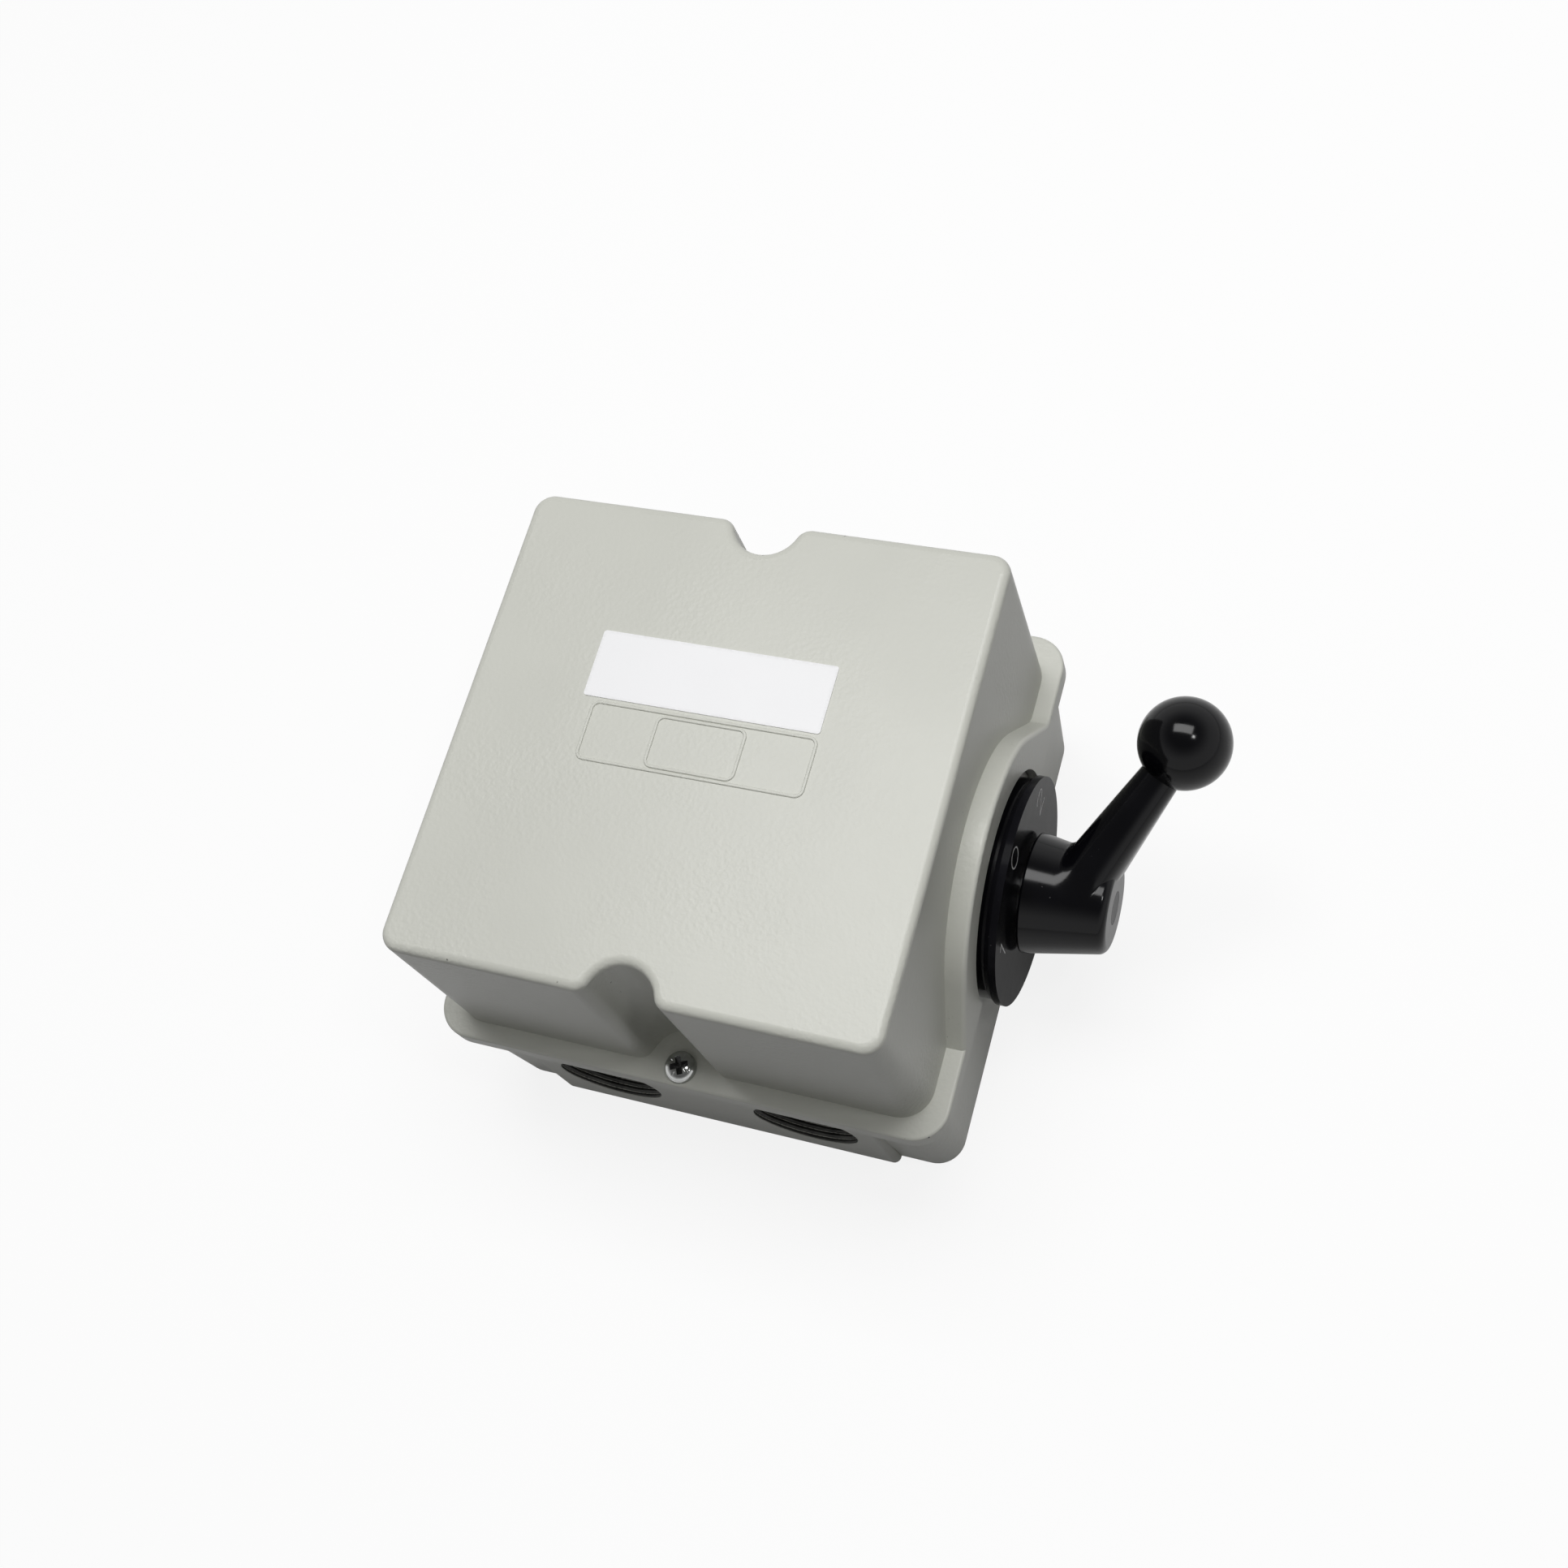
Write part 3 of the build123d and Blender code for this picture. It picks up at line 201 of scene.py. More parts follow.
def screw_crown(cross, from_arm, size, head_radius, side):
    """Radii and heights of the crown, from the recess's outline to the rim. The height falls from
    the top to the head's side with the fourth power of the radius, less four marks between the
    arms, each a bell curve along and across it."""
    outwards = np.linspace(0, 1, CROWN_ROWS)[:, None]
    radius = cross + (CROWN_REACH * head_radius - cross) * outwards
    share = radius / head_radius
    height = side + (size.head_height - side) * (1 - share**4) ** CROWN_FULLNESS
    across = (from_arm - QUARTER / 2) / size.mark_angle
    along = (share - size.mark_place) / size.mark_length
    return radius, height - size.mark_depth * np.exp(-(across**2) - along**2)


def lid_screw_skin(size, head_radius, tip):
    """Pan head screw about the Z axis, its seat at z = 0, as a function of the turn and a step. The
    recess narrows as it goes down, the crown runs from its lip to the rim, and the rim drops to the
    seat. Below it the radius is the core plus a ridge that climbs one pitch in one turn, and it
    draws in to the tip."""
    turn = turns(SCREW_COLUMNS)[None, :]
    cross, from_arm = recess_outline(turn, size)
    side = SIDE_SHARE * size.head_height
    crown_radius, crown = screw_crown(cross, from_arm, size, head_radius, side)
    floor = size.head_height - size.recess_depth
    rim = np.array(RIM_SHARES)[:, None] * head_radius
    rim_height = np.array([side - 0.12 * MM, 0.16 * MM, 0.04 * MM, 0.0])[:, None]
    radius = [*(share * cross for share in RECESS_SHARES), crown_radius, rim]
    height = [floor - 0.3 * MM, floor, floor + 0.45 * MM, crown[:1] - 0.15 * MM, crown, rim_height]
    rows = [np.broadcast_to(row, (len(row), turn.size)) for row in radius]
    levels = [np.broadcast_to(level, row.shape) for level, row in zip(height, rows)]
    head = turned_rows(np.concatenate(rows), np.concatenate(levels), turn)
    down = np.linspace(0, tip, int(PITCH_ROWS * tip / -size.pitch))[:, None]
    phase = (down / size.pitch - turn / (2 * np.pi)) % 1.0
    ridge = 1 - np.abs(2 * phase - 1)
    fade = np.clip(np.minimum(-down / size.pitch, (down - tip) / size.pitch), 0, 1)
    core = size.shank_radius - size.ridge
    point = np.clip((down - tip) / (2 * size.pitch), TIP_SHARE, 1)
    shank = turned_rows((core + size.ridge * ridge * fade) * point, down, turn)
    return skin(np.concatenate([head, shank]))


def entry_thread_skin(size, mount):
    """Thread lining of one entry, about the mount's axis, as a function of the turn and a step that
    goes in along the bore and back inside the wall. On the way in the radius is the bore less a
    ridge with flat roots and crests. It climbs one pitch in one turn and fades out at both ends."""
    turn = turns(THREAD_COLUMNS)[None, :]
    first, last = ENTRY_ENDS
    count = int(ENTRY_PITCH_ROWS * ENTRY_LENGTH / size.entry_pitch)
    depth = np.linspace(first, last, count)[:, None]
    phase = (depth / size.entry_pitch - turn / (2 * np.pi)) % 1.0
    ridge = np.clip(1.35 * (1 - np.abs(2 * phase - 1)) - 0.15, 0, 1)
    ends = np.minimum(depth, ENTRY_LENGTH - depth) / size.entry_pitch
    radius = ENTRY_RADIUS + 0.02 * MM - size.entry_ridge * ridge * np.clip(ends, 0, 1)
    back = np.full((2, turn.size), ENTRY_BACK)
    depth = np.vstack([depth, [[last], [first]]])
    x, z, along = np.moveaxis(turned_rows(np.vstack([radius, back]), depth, turn), 2, 0)
    middle = np.array(mount["pos_m"])
    y = middle[1] - 0.5 * ENTRY_LENGTH + along
    return skin(np.stack([middle[0] + x, y, middle[2] + z], axis=2), wrap_rows=True)


def unit(vectors):
    """Vectors made one long."""
    return vectors / np.linalg.norm(vectors, axis=-1, keepdims=True)


class HubCone:
    """The hub's outside: a cone about the switch's axis."""

    def __init__(self, size):
        self.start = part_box("handle")[0].x
        self.last = self.start + size.hub_length - size.hub_edge
        self.slope = (size.hub_end_radius - size.hub_radius) / size.hub_length
        self.start_radius = size.hub_radius

    def radius(self, x):
        """Radius at a place along the axis."""
        return self.start_radius + self.slope * (x - self.start)

    def point(self, x, angle):
        """Points on the cone: along the axis, and by the angle from +Z towards +Y."""
        out = self.radius(x) * np.hstack([np.sin(angle), np.cos(angle)])
        return np.hstack([x, SWITCH_AXIS + out])

    def crossing(self, points, lines):
        """Lengths along lines at which they cross the cone. With p and l a point and a line less
        their x, and r and s the cone's radius there and its change, |p + t l| = r + t s."""
        off, off_line = points[:, 1:] - SWITCH_AXIS, lines[:, 1:]
        radius, radius_line = self.radius(points[:, 0]), self.slope * lines[:, 0]
        square = (off_line**2).sum(axis=1) - radius_line**2
        half = (off * off_line).sum(axis=1) - radius * radius_line
        rest = (off**2).sum(axis=1) - radius**2
        return ((-half + np.sqrt(half**2 - square * rest)) / square)[:, None]


def arm_lines(size, foot, ball):
    """Tops, starts and directions of the arm's straight lines, by the turn about the arm. They run
    from a squared oval round its foot, (a cos^n, b sin^n), to a circle in the ball."""
    arm_length = np.linalg.norm(ball - foot) - size.arm_tip
    along = unit(ball - foot)
    side = unit(np.cross(along, [1.0, 0.0, 0.0]))
    front = np.cross(side, along)
    turn = turns(ARM_COLUMNS)[:, None]
    around = np.hstack([np.cos(turn), np.sin(turn)])
    oval = np.sign(around) * abs(around) ** size.squareness
    start = foot + oval * [size.arm_radius, size.arm_half_width] @ [front, side]
    top = foot + along * arm_length + size.arm_tip_radius * around @ [front, side]
    return top, start, (top - start) / arm_length, along


def lever_arm_skin(size, ball):
    """Arm with an oval section, as a function of the turn about its line and a share of its length.
    Each of its straight lines crosses the hub, and round that crossing a cubic touches both the
    line and the hub. The cubic shrinks at the hub's end and on the arm's narrow sides."""
    hub = HubCone(size)
    foot = np.array([hub.start + size.arm_foot, *SWITCH_AXIS])
    top, start, line, along = arm_lines(size, foot, ball)
    middle = foot + along * hub.crossing(foot[None, :], along[None, :])
    steps = np.minimum(hub.crossing(start, line), (hub.last - start[:, :1]) / line[:, :1])
    cross = start + line * steps
    x = cross[:, :1]
    left = np.clip((hub.last - x) / size.root_end, 0.0, 1.0)
    room = LEAST_ROOM + (1 - LEAST_ROOM) * left * left * (3 - 2 * left)
    wide = np.sin(turns(ARM_COLUMNS)[:, None]) ** 2
    room = room * (EDGE_ROOM + (1 - EDGE_ROOM) * wide)
    on_arm = cross + line * size.root_rise * room
    angle = np.arctan2(cross[:, 1:2] - SWITCH_AXIS[0], cross[:, 2:] - SWITCH_AXIS[1])
    middle_angle = np.arctan2(*(middle[0, 1:] - SWITCH_AXIS))
    radius = hub.radius(x)
    run = unit(np.hstack([x - middle[0, 0], radius * (angle - middle_angle)]))
    reach = size.root_reach * room
    near, end = (
        hub.point(x + far * run[:, :1], angle + far * run[:, 1:] / radius)
        for far in (NEAR_SHARE * reach, reach)
    )
    leave = on_arm + HANDLE_SHARE * (cross - on_arm)
    arrive = end - HANDLE_SHARE * reach * unit(end - near)
    share = np.linspace(0, 1, ARM_ROWS)[:, None, None]
    straight = top + share[:-1] * (on_arm - top)
    curve = (1 - share) ** 3 * on_arm + 3 * (1 - share) ** 2 * share * leave
    curve = curve + 3 * (1 - share) * share**2 * arrive + share**3 * end
    hub_middle = np.hstack([end[:, :1], np.broadcast_to(SWITCH_AXIS, (len(end), 2))])
    sunk = [hub_middle + part * (end - hub_middle) for part in SUNK_SHARES]
    sunk.append(foot + FOOT_SHARE * (start - foot))
    return skin(np.concatenate([straight, curve, np.stack(sunk)]))


def numeral_strokes(digit):
    """Centre lines of a digit's strokes, in a box one high and a half wide about the origin. Each
    is (points, closed). 0 is the oval (cos / 4, sin / 2) of its angle, 2 is over half a circle
    that runs on straight to its foot, and 1 is a stem with a short flag."""
    if digit == "0":
        angle = turns(64)
        around = np.stack([np.cos(angle), np.sin(angle)], axis=1)
        return [(around * [0.25, 0.5], True)]
    if digit == "1":
        flag = np.linspace([-0.13, 0.3], [0.04, 0.47], 12)
        stem = np.linspace([0.04, 0.5], [0.04, -0.5], 12)
        return [(flag, False), (stem, False)]
    angle = np.radians(np.linspace(168, -38, 40))
    hook = np.stack([0.24 * np.cos(angle), 0.26 + 0.24 * np.sin(angle)], axis=1)
    slope = np.linspace(hook[-1], [-0.23, -0.47], 16)[1:]
    foot = np.linspace([-0.25, -0.49], [0.25, -0.49], 12)
    return [(np.vstack([hook, slope]), False), (foot, False)]


def on_dial(across, up, rise, angle, reach):
    """Points of an upright number in place: its middle stands at a reach from the switch's axis,
    at an angle from +Z towards +Y, and its ink rises from the disc's face."""
    y = SWITCH_AXIS[0] + reach * np.sin(angle) + across
    z = SWITCH_AXIS[1] + reach * np.cos(angle) + up
    return np.stack([DISC_HIGH.x + rise, y, z], axis=2)


def stroke_skin(line, closed, size, angle, reach):
    """Raised ink line: a low rounded band carried along a flat centre line. Across the band, at an
    angle round its section, the offset is half the stroke times a power of the cosine, and the
    height is what it stands proud times the sine."""
    if closed:
        along = np.roll(line, -1, axis=0) - np.roll(line, 1, axis=0)
    else:
        along = np.gradient(line, axis=0)
    along = unit(along)
    across = np.stack([-along[:, 1], along[:, 0]], axis=1)
    section = turns(STROKE_COLUMNS)[None, :]
    offset = 0.5 * size.stroke * np.sign(np.cos(section)) * abs(np.cos(section)) ** STROKE_POWER
    flat = line[:, None, :] + across[:, None, :] * offset[..., None]
    rise = np.broadcast_to(size.proud * np.sin(section), flat.shape[:2])
    places = on_dial(flat[..., 0], flat[..., 1], rise, angle, reach)
    return skin(places, wrap_rows=closed)


# ---------------------------------------------------------------- node finishes


class Wire:
    """A shader socket. The usual signs between two wires, or a wire and a number, add the Math
    node that works them out."""

    def __init__(self, finish, socket):
        self.finish = finish
        self.socket = socket

    def worked(self, operation, first, second=0.0):
        """The wire out of one Math node."""
        sockets = {0: first, 1: second}
        return self.finish.wire("ShaderNodeMath", {"operation": operation}, sockets)

    def __add__(self, other):
        return self.worked("ADD", self, other)

    def __sub__(self, other):
        return self.worked("SUBTRACT", self, other)

    def __rsub__(self, other):
        return self.worked("SUBTRACT", other, self)

    def __mul__(self, other):
        return self.worked("MULTIPLY", self, other)

    def __pow__(self, other):
        return self.worked("POWER", self, other)

    def __abs__(self):
        return self.worked("ABSOLUTE", self)

    __radd__ = __add__
    __rmul__ = __mul__

    def above(self, low, high):
        """0 below one value, 1 above the other, and a smooth run between."""
        smooth = {"interpolation_type": "SMOOTHSTEP"}
        sockets = {"Value": self, "From Min": low, "From Max": high}
        return self.finish.wire("ShaderNodeMapRange", smooth, sockets, "Result")

    def most(self, other):
        """The greater of the two."""
        return self.worked("MAXIMUM", self, other)

    def least(self, other):
        """The lesser of the two."""
        return self.worked("MINIMUM", self, other)


class Finish:
    """A material's or a world's nodes while they are put together."""

    def __init__(self, owner):
        owner.use_nodes = True
        self.owner = owner
        self.tree = owner.node_tree
        self.tree.nodes.clear()

    @cached_property
    def place(self):
        """Place on the object, in metres."""
        return self.wire("ShaderNodeTexCoord", {}, {}, "Object")

    def node(self, kind, settings, sockets):
        """A node of any kind: its settings first, then its sockets' values or links."""
        made = self.tree.nodes.new(kind)
        for key, value in settings.items():
            setattr(made, key, value)
        for key, value in sockets.items():
            if isinstance(value, Wire):
                self.tree.links.new(value.socket, made.inputs[key])
            else:
                made.inputs[key].default_value = value
        return made

    def wire(self, kind, settings, sockets, output=0):
        """The wire out of one node."""
        return Wire(self, self.node(kind, settings, sockets).outputs[output])

    def noise(self, size, detail=2.0, place=None, roughness=0.5):
        """Soft noise about 0.5, with spots of roughly a size in metres and finer ones in them."""
        sockets = {
            "Vector": place or self.place,
            "Scale": 1.0 / size,
            "Detail": detail,
            "Roughness": roughness,
        }
        return self.wire("ShaderNodeTexNoise", {}, sockets, "Fac")

    def cells(self, size):
        """Distance to the nearest of points scattered about a size apart, as a share of it."""
        sockets = {"Vector": self.place, "Scale": 1.0 / size}
        return self.wire("ShaderNodeTexVoronoi", {}, sockets, "Distance")

    def parts(self, vector):
        """A vector's x, y and z as three wires."""
        made = self.node("ShaderNodeSeparateXYZ", {}, {"Vector": vector})
        return [Wire(self, socket) for socket in made.outputs]

    def stretched(self, scale):
        """Place with each direction scaled, for grain and brushing."""
        return self.wire("ShaderNodeMapping", {}, {"Vector": self.place, "Scale": scale})

    def blend(self, share, first, second):
        """Colour between two, by a share."""
        sockets = {0: share, 6: first, 7: second}
        return self.wire("ShaderNodeMix", {"data_type": "RGBA"}, sockets, 2)

    def bump(self, height, distance, strength=1.0, under=None):
        """Normal that a height in steps of a distance gives, on top of another."""
        sockets = {"Height": height, "Distance": distance, "Strength": strength}
        if under is not None:
            sockets["Normal"] = under
        return self.wire("ShaderNodeBump", {}, sockets, "Normal")

    def edges(self):
        """0 on surfaces square to the axes, up to 1 in the middle of a rounded edge."""
        facing = self.wire("ShaderNodeTexCoord", {}, {}, "Normal")
        x, y, z = (abs(part) for part in self.parts(facing))
        return (1.0 - x.most(y).most(z)).above(0.03, 0.22)

    def close(self, **sockets):
        """The material, with a Principled shader that takes these sockets."""
        names = {key.replace("_", " "): value for key, value in sockets.items()}
        shader = self.wire("ShaderNodeBsdfPrincipled", {}, names)
        self.node("ShaderNodeOutputMaterial", {}, {"Surface": shader})
        return self.owner


def new_finish(name):
    """A new material's nodes."""
    return Finish(bpy.data.materials.new(name))


def rgba(colour, share=1.0):
    """Colour with its alpha, darkened or lightened by a share."""
    return (*(min(1.0, channel * share) for channel in colour), 1.0)


def casting_paint(look):
    """Gloss paint over a die casting: orange peel that comes and goes, slow waves of the metal,
    small dirt specks, dark nicks on the rounded edges, and a painted highlight along them."""
    f = new_finish("painted_casting")
    peel = f.noise(look.peel_size, 1.0)
    wave = f.noise(9 * MM, 1.0)
    patch = f.noise(34 * MM, 2.0).above(0.35, 0.75)
    cloud = f.noise(60 * MM, 3.0)
    grit = f.cells(1.9 * MM)
    edge = f.edges()
    nick_place = f.noise(2.6 * MM, 3.0, roughness=0.7)
    nicks = edge * nick_place.above(0.68, 0.74) * f.noise(21 * MM, 1.0).above(0.52, 0.6)
    specks = f.noise(6 * MM, 0.0).above(0.83, 0.86) * (1.0 - grit.above(0.05, 0.14))
    tone = f.blend(cloud.above(0.3, 0.75), rgba(look.paint), rgba(look.paint, 0.95))
    # Rounded edges made up to 12% lighter: a painted highlight.
    tone = f.blend(edge * 0.22, tone, rgba(look.paint, 1.12))
    tone = f.blend(specks * 0.7, tone, rgba(look.under_paint_and_shade))
    tone = f.blend(nicks, tone, rgba(look.under_paint_and_shade))
    height = peel * (0.2 + 0.8 * patch)
    normal = f.bump(height, look.peel_height)
    normal = f.bump(wave, 0.10 * MM, 0.6, normal)
    normal = f.bump(1.0 - nicks, 0.05 * MM, 0.7, normal)
    rough = look.paint_roughness + 0.06 * f.noise(3 * MM, 2.0) + 0.25 * nicks
    return f.close(
        Base_Color=tone,
        Roughness=rough,
        Specular_IOR_Level=0.38,
        Coat_Weight=0.16 - 0.14 * nicks,
        Coat_Roughness=0.2,
        Normal=normal,
    )


def gloss_moulding(name, colour, shine):
    """Polished black moulding: shallow flow waves, faint rubbed haze and a few pin specks."""
    f = new_finish(name)
    haze = f.noise(11 * MM, 3.0)
    lines = f.noise(1.0 * MM, 2.0, f.stretched((0.25, 1.0, 1.0)))
    specks = (1.0 - f.cells(3.1 * MM).above(0.03, 0.07)) * haze.above(0.5, 0.6)
    tone = f.blend(haze.above(0.4, 0.8), rgba(colour), rgba(colour, 1.5))
    tone = f.blend(specks * 0.5, tone, (0.12, 0.12, 0.12, 1))
    rough = 0.08 + 0.08 * haze + 0.03 * lines + 0.2 * specks
    normal = f.bump(f.noise(7 * MM, 1.0), 0.05 * MM, 0.5)
    return f.close(
        Base_Color=tone,
        Roughness=rough,
        Specular_IOR_Level=shine,
        Normal=f.bump(lines, 0.004 * MM, 0.5, normal),
    )


def satin_moulding(name, colour, look):
    """Satin moulding with a fine even grain and soft clouding."""
    f = new_finish(name)
    grain = f.noise(0.35 * MM, 2.0)
    cloud = f.noise(14 * MM, 3.0)
    tone = f.blend(cloud.above(0.35, 0.75), rgba(colour), rgba(colour, 1.25))
    return f.close(
        Base_Color=tone,
        Roughness=look.satin_roughness + 0.1 * cloud + 0.06 * grain,
        Specular_IOR_Level=0.3,
        Normal=f.bump(grain, 0.01 * MM, 0.6),
    )


def label_film(look):
    """White printed film, left blank: fibres under a clear skin, slightly grey at its edges."""
    f = new_finish("label_film")
    low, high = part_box("label")
    x, y, _ = f.parts(f.place)
    middle_x, middle_y = 0.5 * (low.x + high.x), 0.5 * (low.y + high.y)
    from_end = 0.5 * (high.x - low.x) - abs(x - middle_x)
    from_side = 0.5 * (high.y - low.y) - abs(y - middle_y)
    rim = 1.0 - from_end.least(from_side).above(0.1 * MM, 1.1 * MM)
    fibre = f.noise(0.5 * MM, 3.0, f.stretched((0.5, 1.0, 1.0)))
    tone = f.blend(f.noise(18 * MM, 2.0), rgba(look.label), rgba(look.label, 0.96))
    tone = f.blend(rim * 0.25 * fibre.above(0.3, 0.7), tone, rgba(look.label, 0.62))
    return f.close(
        Base_Color=tone,
        Roughness=0.38 + 0.12 * fibre,
        Specular_IOR_Level=0.35,
        Normal=f.bump(fibre, 0.008 * MM, 0.6),
    )


def soft_rubber(look):
    """Matt black rubber with a fine bloom."""
    f = new_finish("soft_rubber")
    bloom = f.noise(5 * MM, 4.0, roughness=0.65)
    grain = f.noise(0.25 * MM, 2.0)
    tone = f.blend(bloom.above(0.45, 0.8), rgba(look.rubber), rgba(look.rubber, 2.2))
    return f.close(
        Base_Color=tone,
        Roughness=0.72 + 0.12 * grain,
        Specular_IOR_Level=0.25,
        Normal=f.bump(grain, 0.015 * MM, 0.7),
    )


def metal(name, colour, stain, rough, grain_scale):
    """Bare or plated metal: a drawn or brushed grain, cloudy plating and a little stain."""
    f = new_finish(name)
    grain = f.noise(0.5 * MM, 3.0, f.stretched(grain_scale))
    cloud = f.noise(6 * MM, 3.0)
    tone = f.blend(cloud.above(0.35, 0.8), rgba(colour), rgba(colour, 0.82))
    tone = f.blend(f.noise(2.2 * MM, 4.0).above(0.6, 0.72) * 0.5, tone, rgba(stain))
    return f.close(
        Base_Color=tone,
        Metallic=0.94 + 0.06 * cloud,
        Roughness=rough + 0.12 * cloud + 0.08 * grain,
        Normal=f.bump(grain, 0.008 * MM, 0.7),
    )


def screw_zinc(look, size):
    """Plated screw heads: zinc with a slow clouding, and a dark patch in the cross recess, below
    the crown and within the recess's reach of the screw's axis: grime and painted shade."""
    f = new_finish("bright_zinc")
    x, y, z = f.parts(f.place)
    across = abs(y) - (SCREW_HIGH.y - 0.5 * (SCREW_HIGH.x - SCREW_LOW.x))
    radius = (x * x + across * across) ** 0.5
    inside = 1.0 - radius.above(0.97 * size.recess_radius, 1.05 * size.recess_radius)
    sunk = 1.0 - z.above(SCREW_HIGH.z - 0.45 * MM, SCREW_HIGH.z - 0.3 * MM)
    floor = SCREW_HIGH.z - size.recess_depth - 0.5 * MM
    # Dark patch in the cross recess: partly grime, partly painted shade of the recess.
    grime_and_shade = inside * sunk * z.above(floor - 0.1 * MM, floor)
    grime_and_shade = grime_and_shade * f.noise(0.5 * MM, 2.0).above(0.1, 0.4)
    cloud = f.noise(2.5 * MM, 3.0)
    grain = f.noise(0.3 * MM, 2.0)
    tone = f.blend(cloud.above(0.3, 0.75), rgba(look.zinc, 0.62), rgba(look.zinc, 0.8))
    # The recess painted near black: grime and painted shade.
    tone = f.blend(grime_and_shade * 0.92, tone, rgba(look.under_paint_and_shade, 0.35))
    return f.close(
        Base_Color=tone,
        Metallic=0.97 - 0.5 * grime_and_shade,
        Roughness=0.08 + 0.08 * cloud + 0.3 * grime_and_shade,
        Normal=f.bump(grain, 0.006 * MM, 0.6),
    )


def moulded_phenolic(look):
    """Dark phenolic with short filler fibres and a dull skin."""
    f = new_finish("moulded_phenolic")
    fibre = f.noise(0.9 * MM, 4.0, f.stretched((1.0, 0.35, 0.6)), 0.7)
    cloud = f.noise(16 * MM, 2.0)
    tone = f.blend(cloud, rgba(look.phenolic, 0.8), rgba(look.phenolic, 1.15))
    tone = f.blend(fibre.above(0.55, 0.75) * 0.6, tone, rgba(look.phenolic, 1.7))
    return f.close(
        Base_Color=tone,
        Roughness=0.42 + 0.18 * fibre,
        Specular_IOR_Level=0.4,
        Normal=f.bump(fibre, 0.02 * MM, 0.5),
    )


def cut_thread(look):
    """Thread cut through the paint into the casting: dull metal, very dark partly as painted shade
    of the bore, and darker in patches with oil.
    """
    f = new_finish("cut_thread")
    oil = f.noise(3 * MM, 3.0).above(0.3, 0.7)
    grain = f.noise(0.4 * MM, 2.0, f.stretched((1.0, 3.0, 1.0)))
    # Very dark tone: bare cut metal, partly painted shade inside the bore.
    tone = f.blend(oil, rgba(look.shaded_bare_casting), rgba(look.shaded_bare_casting, 0.45))
    return f.close(
        Base_Color=tone,
        Metallic=0.35 - 0.2 * oil,
        Roughness=0.5 + 0.2 * grain,
        Specular_IOR_Level=0.3,
        Normal=f.bump(grain, 0.02 * MM, 0.5),
    )


def dial_ink(look):
    """White printing ink, a little uneven where it lies thin."""
    f = new_finish("dial_ink")
    thin = f.noise(0.6 * MM, 2.0)
    tone = f.blend(thin.above(0.35, 0.75), rgba(look.ink), rgba(look.ink, 0.8))
    return f.close(Base_Color=tone, Roughness=0.45 + 0.15 * thin)


def assign(finish, *slots):
    """Gives a finish to every packed node that takes one of these slots."""
    for name, obj in NODES.items():
        if SLOT_OF[name] in slots:
            obj.data.materials.clear()
            obj.data.materials.append(finish)


def repaint(node, finish):
    """Gives a finish to one packed node."""
    NODES[node].data.materials.clear()
    NODES[node].data.materials.append(finish)


# ---------------------------------------------------------------- sizes and colours


def colour_property(name, description, default):
    """A colour that the user can change."""
    return FloatVectorProperty(
        name=name, description=description, default=default, min=0.0, max=1.0, subtype="COLOR"
    )


def length_property(name, description, default):
    """A length that the user can change, written in metres."""
    return FloatProperty(
        name=name,
        description=description,
        default=default,
        min=0.0,
        precision=5,
        subtype="DISTANCE",
        unit="LENGTH",
    )


def share_property(name, description, default):
    """A share from 0 to 1 that the user can change."""
    return FloatProperty(name=name, description=description, default=default, min=0.0, max=1.0)


def angle_property(name, description, degrees):
    """An angle that the user can change."""
    return FloatProperty(
        name=name,
        description=description,
        default=np.radians(degrees),
        subtype="ANGLE",
        unit="ROTATION",
    )


def vector_property(name, description, default, subtype="NONE", unit="NONE"):
    """A point, a direction or a pair of angles that the user can change."""
    return FloatVectorProperty(
        name=name,
        description=description,
        default=default,
        size=len(default),
        subtype=subtype,
        unit=unit,
    )


class SwitchLooks(bpy.types.PropertyGroup):
    """Colours and surface sizes of the switch's finishes."""

    paint: colour_property("Paint", "Gloss paint of the box", (0.572, 0.577, 0.525))
    # Metal in the nicks and dark specks; darkened further, also the painted shade in the screw
    # recesses.
    under_paint_and_shade: colour_property("Nicks", "Metal where paint is off", (0.05, 0.05, 0.05))
    # Bare cut metal of the entry threads, made very dark partly as painted shade of the bores.
    shaded_bare_casting: colour_property("Casting", "Bare cut casting", (0.075, 0.075, 0.07))
    peel_size: length_property("Peel Size", "Spot size of the orange peel", 1.3 * MM)
    peel_height: length_property("Peel Height", "Height of the orange peel", 0.18 * MM)
    paint_roughness: share_property("Paint Roughness", "Roughness of the paint", 0.40)
    black: colour_property("Black", "Gloss mouldings", (0.0020, 0.0020, 0.0028))
    black_shine: share_property("Black Shine", "Mirror level of the mouldings", 0.21)
    disc: colour_property("Disc", "Dial disc", (0.006, 0.006, 0.0075))
    disc_shine: share_property("Disc Shine", "Mirror level of the disc", 0.02)
    cap: colour_property("Cap", "Cap in the hub", (0.016, 0.016, 0.018))
    satin_roughness: share_property("Satin Roughness", "Roughness of satin parts", 0.3)
    label: colour_property("Label", "Blank label film", (0.87, 0.87, 0.88))
    ink: colour_property("Ink", "Dial numbers", (0.75, 0.75, 0.75))
    rubber: colour_property("Rubber", "Seals", (0.018, 0.018, 0.018))
    zinc: colour_property("Zinc", "Plated screws and plates", (0.66, 0.67, 0.66))
    steel: colour_property("Steel", "Shaft and springs", (0.52, 0.52, 0.53))
    brass: colour_property("Brass", "Contacts and bridges", (0.72, 0.50, 0.22))
    white: colour_property("White", "White mouldings", (0.72, 0.70, 0.62))
    phenolic: colour_property("Phenolic", "Switch chambers", (0.060, 0.030, 0.018))


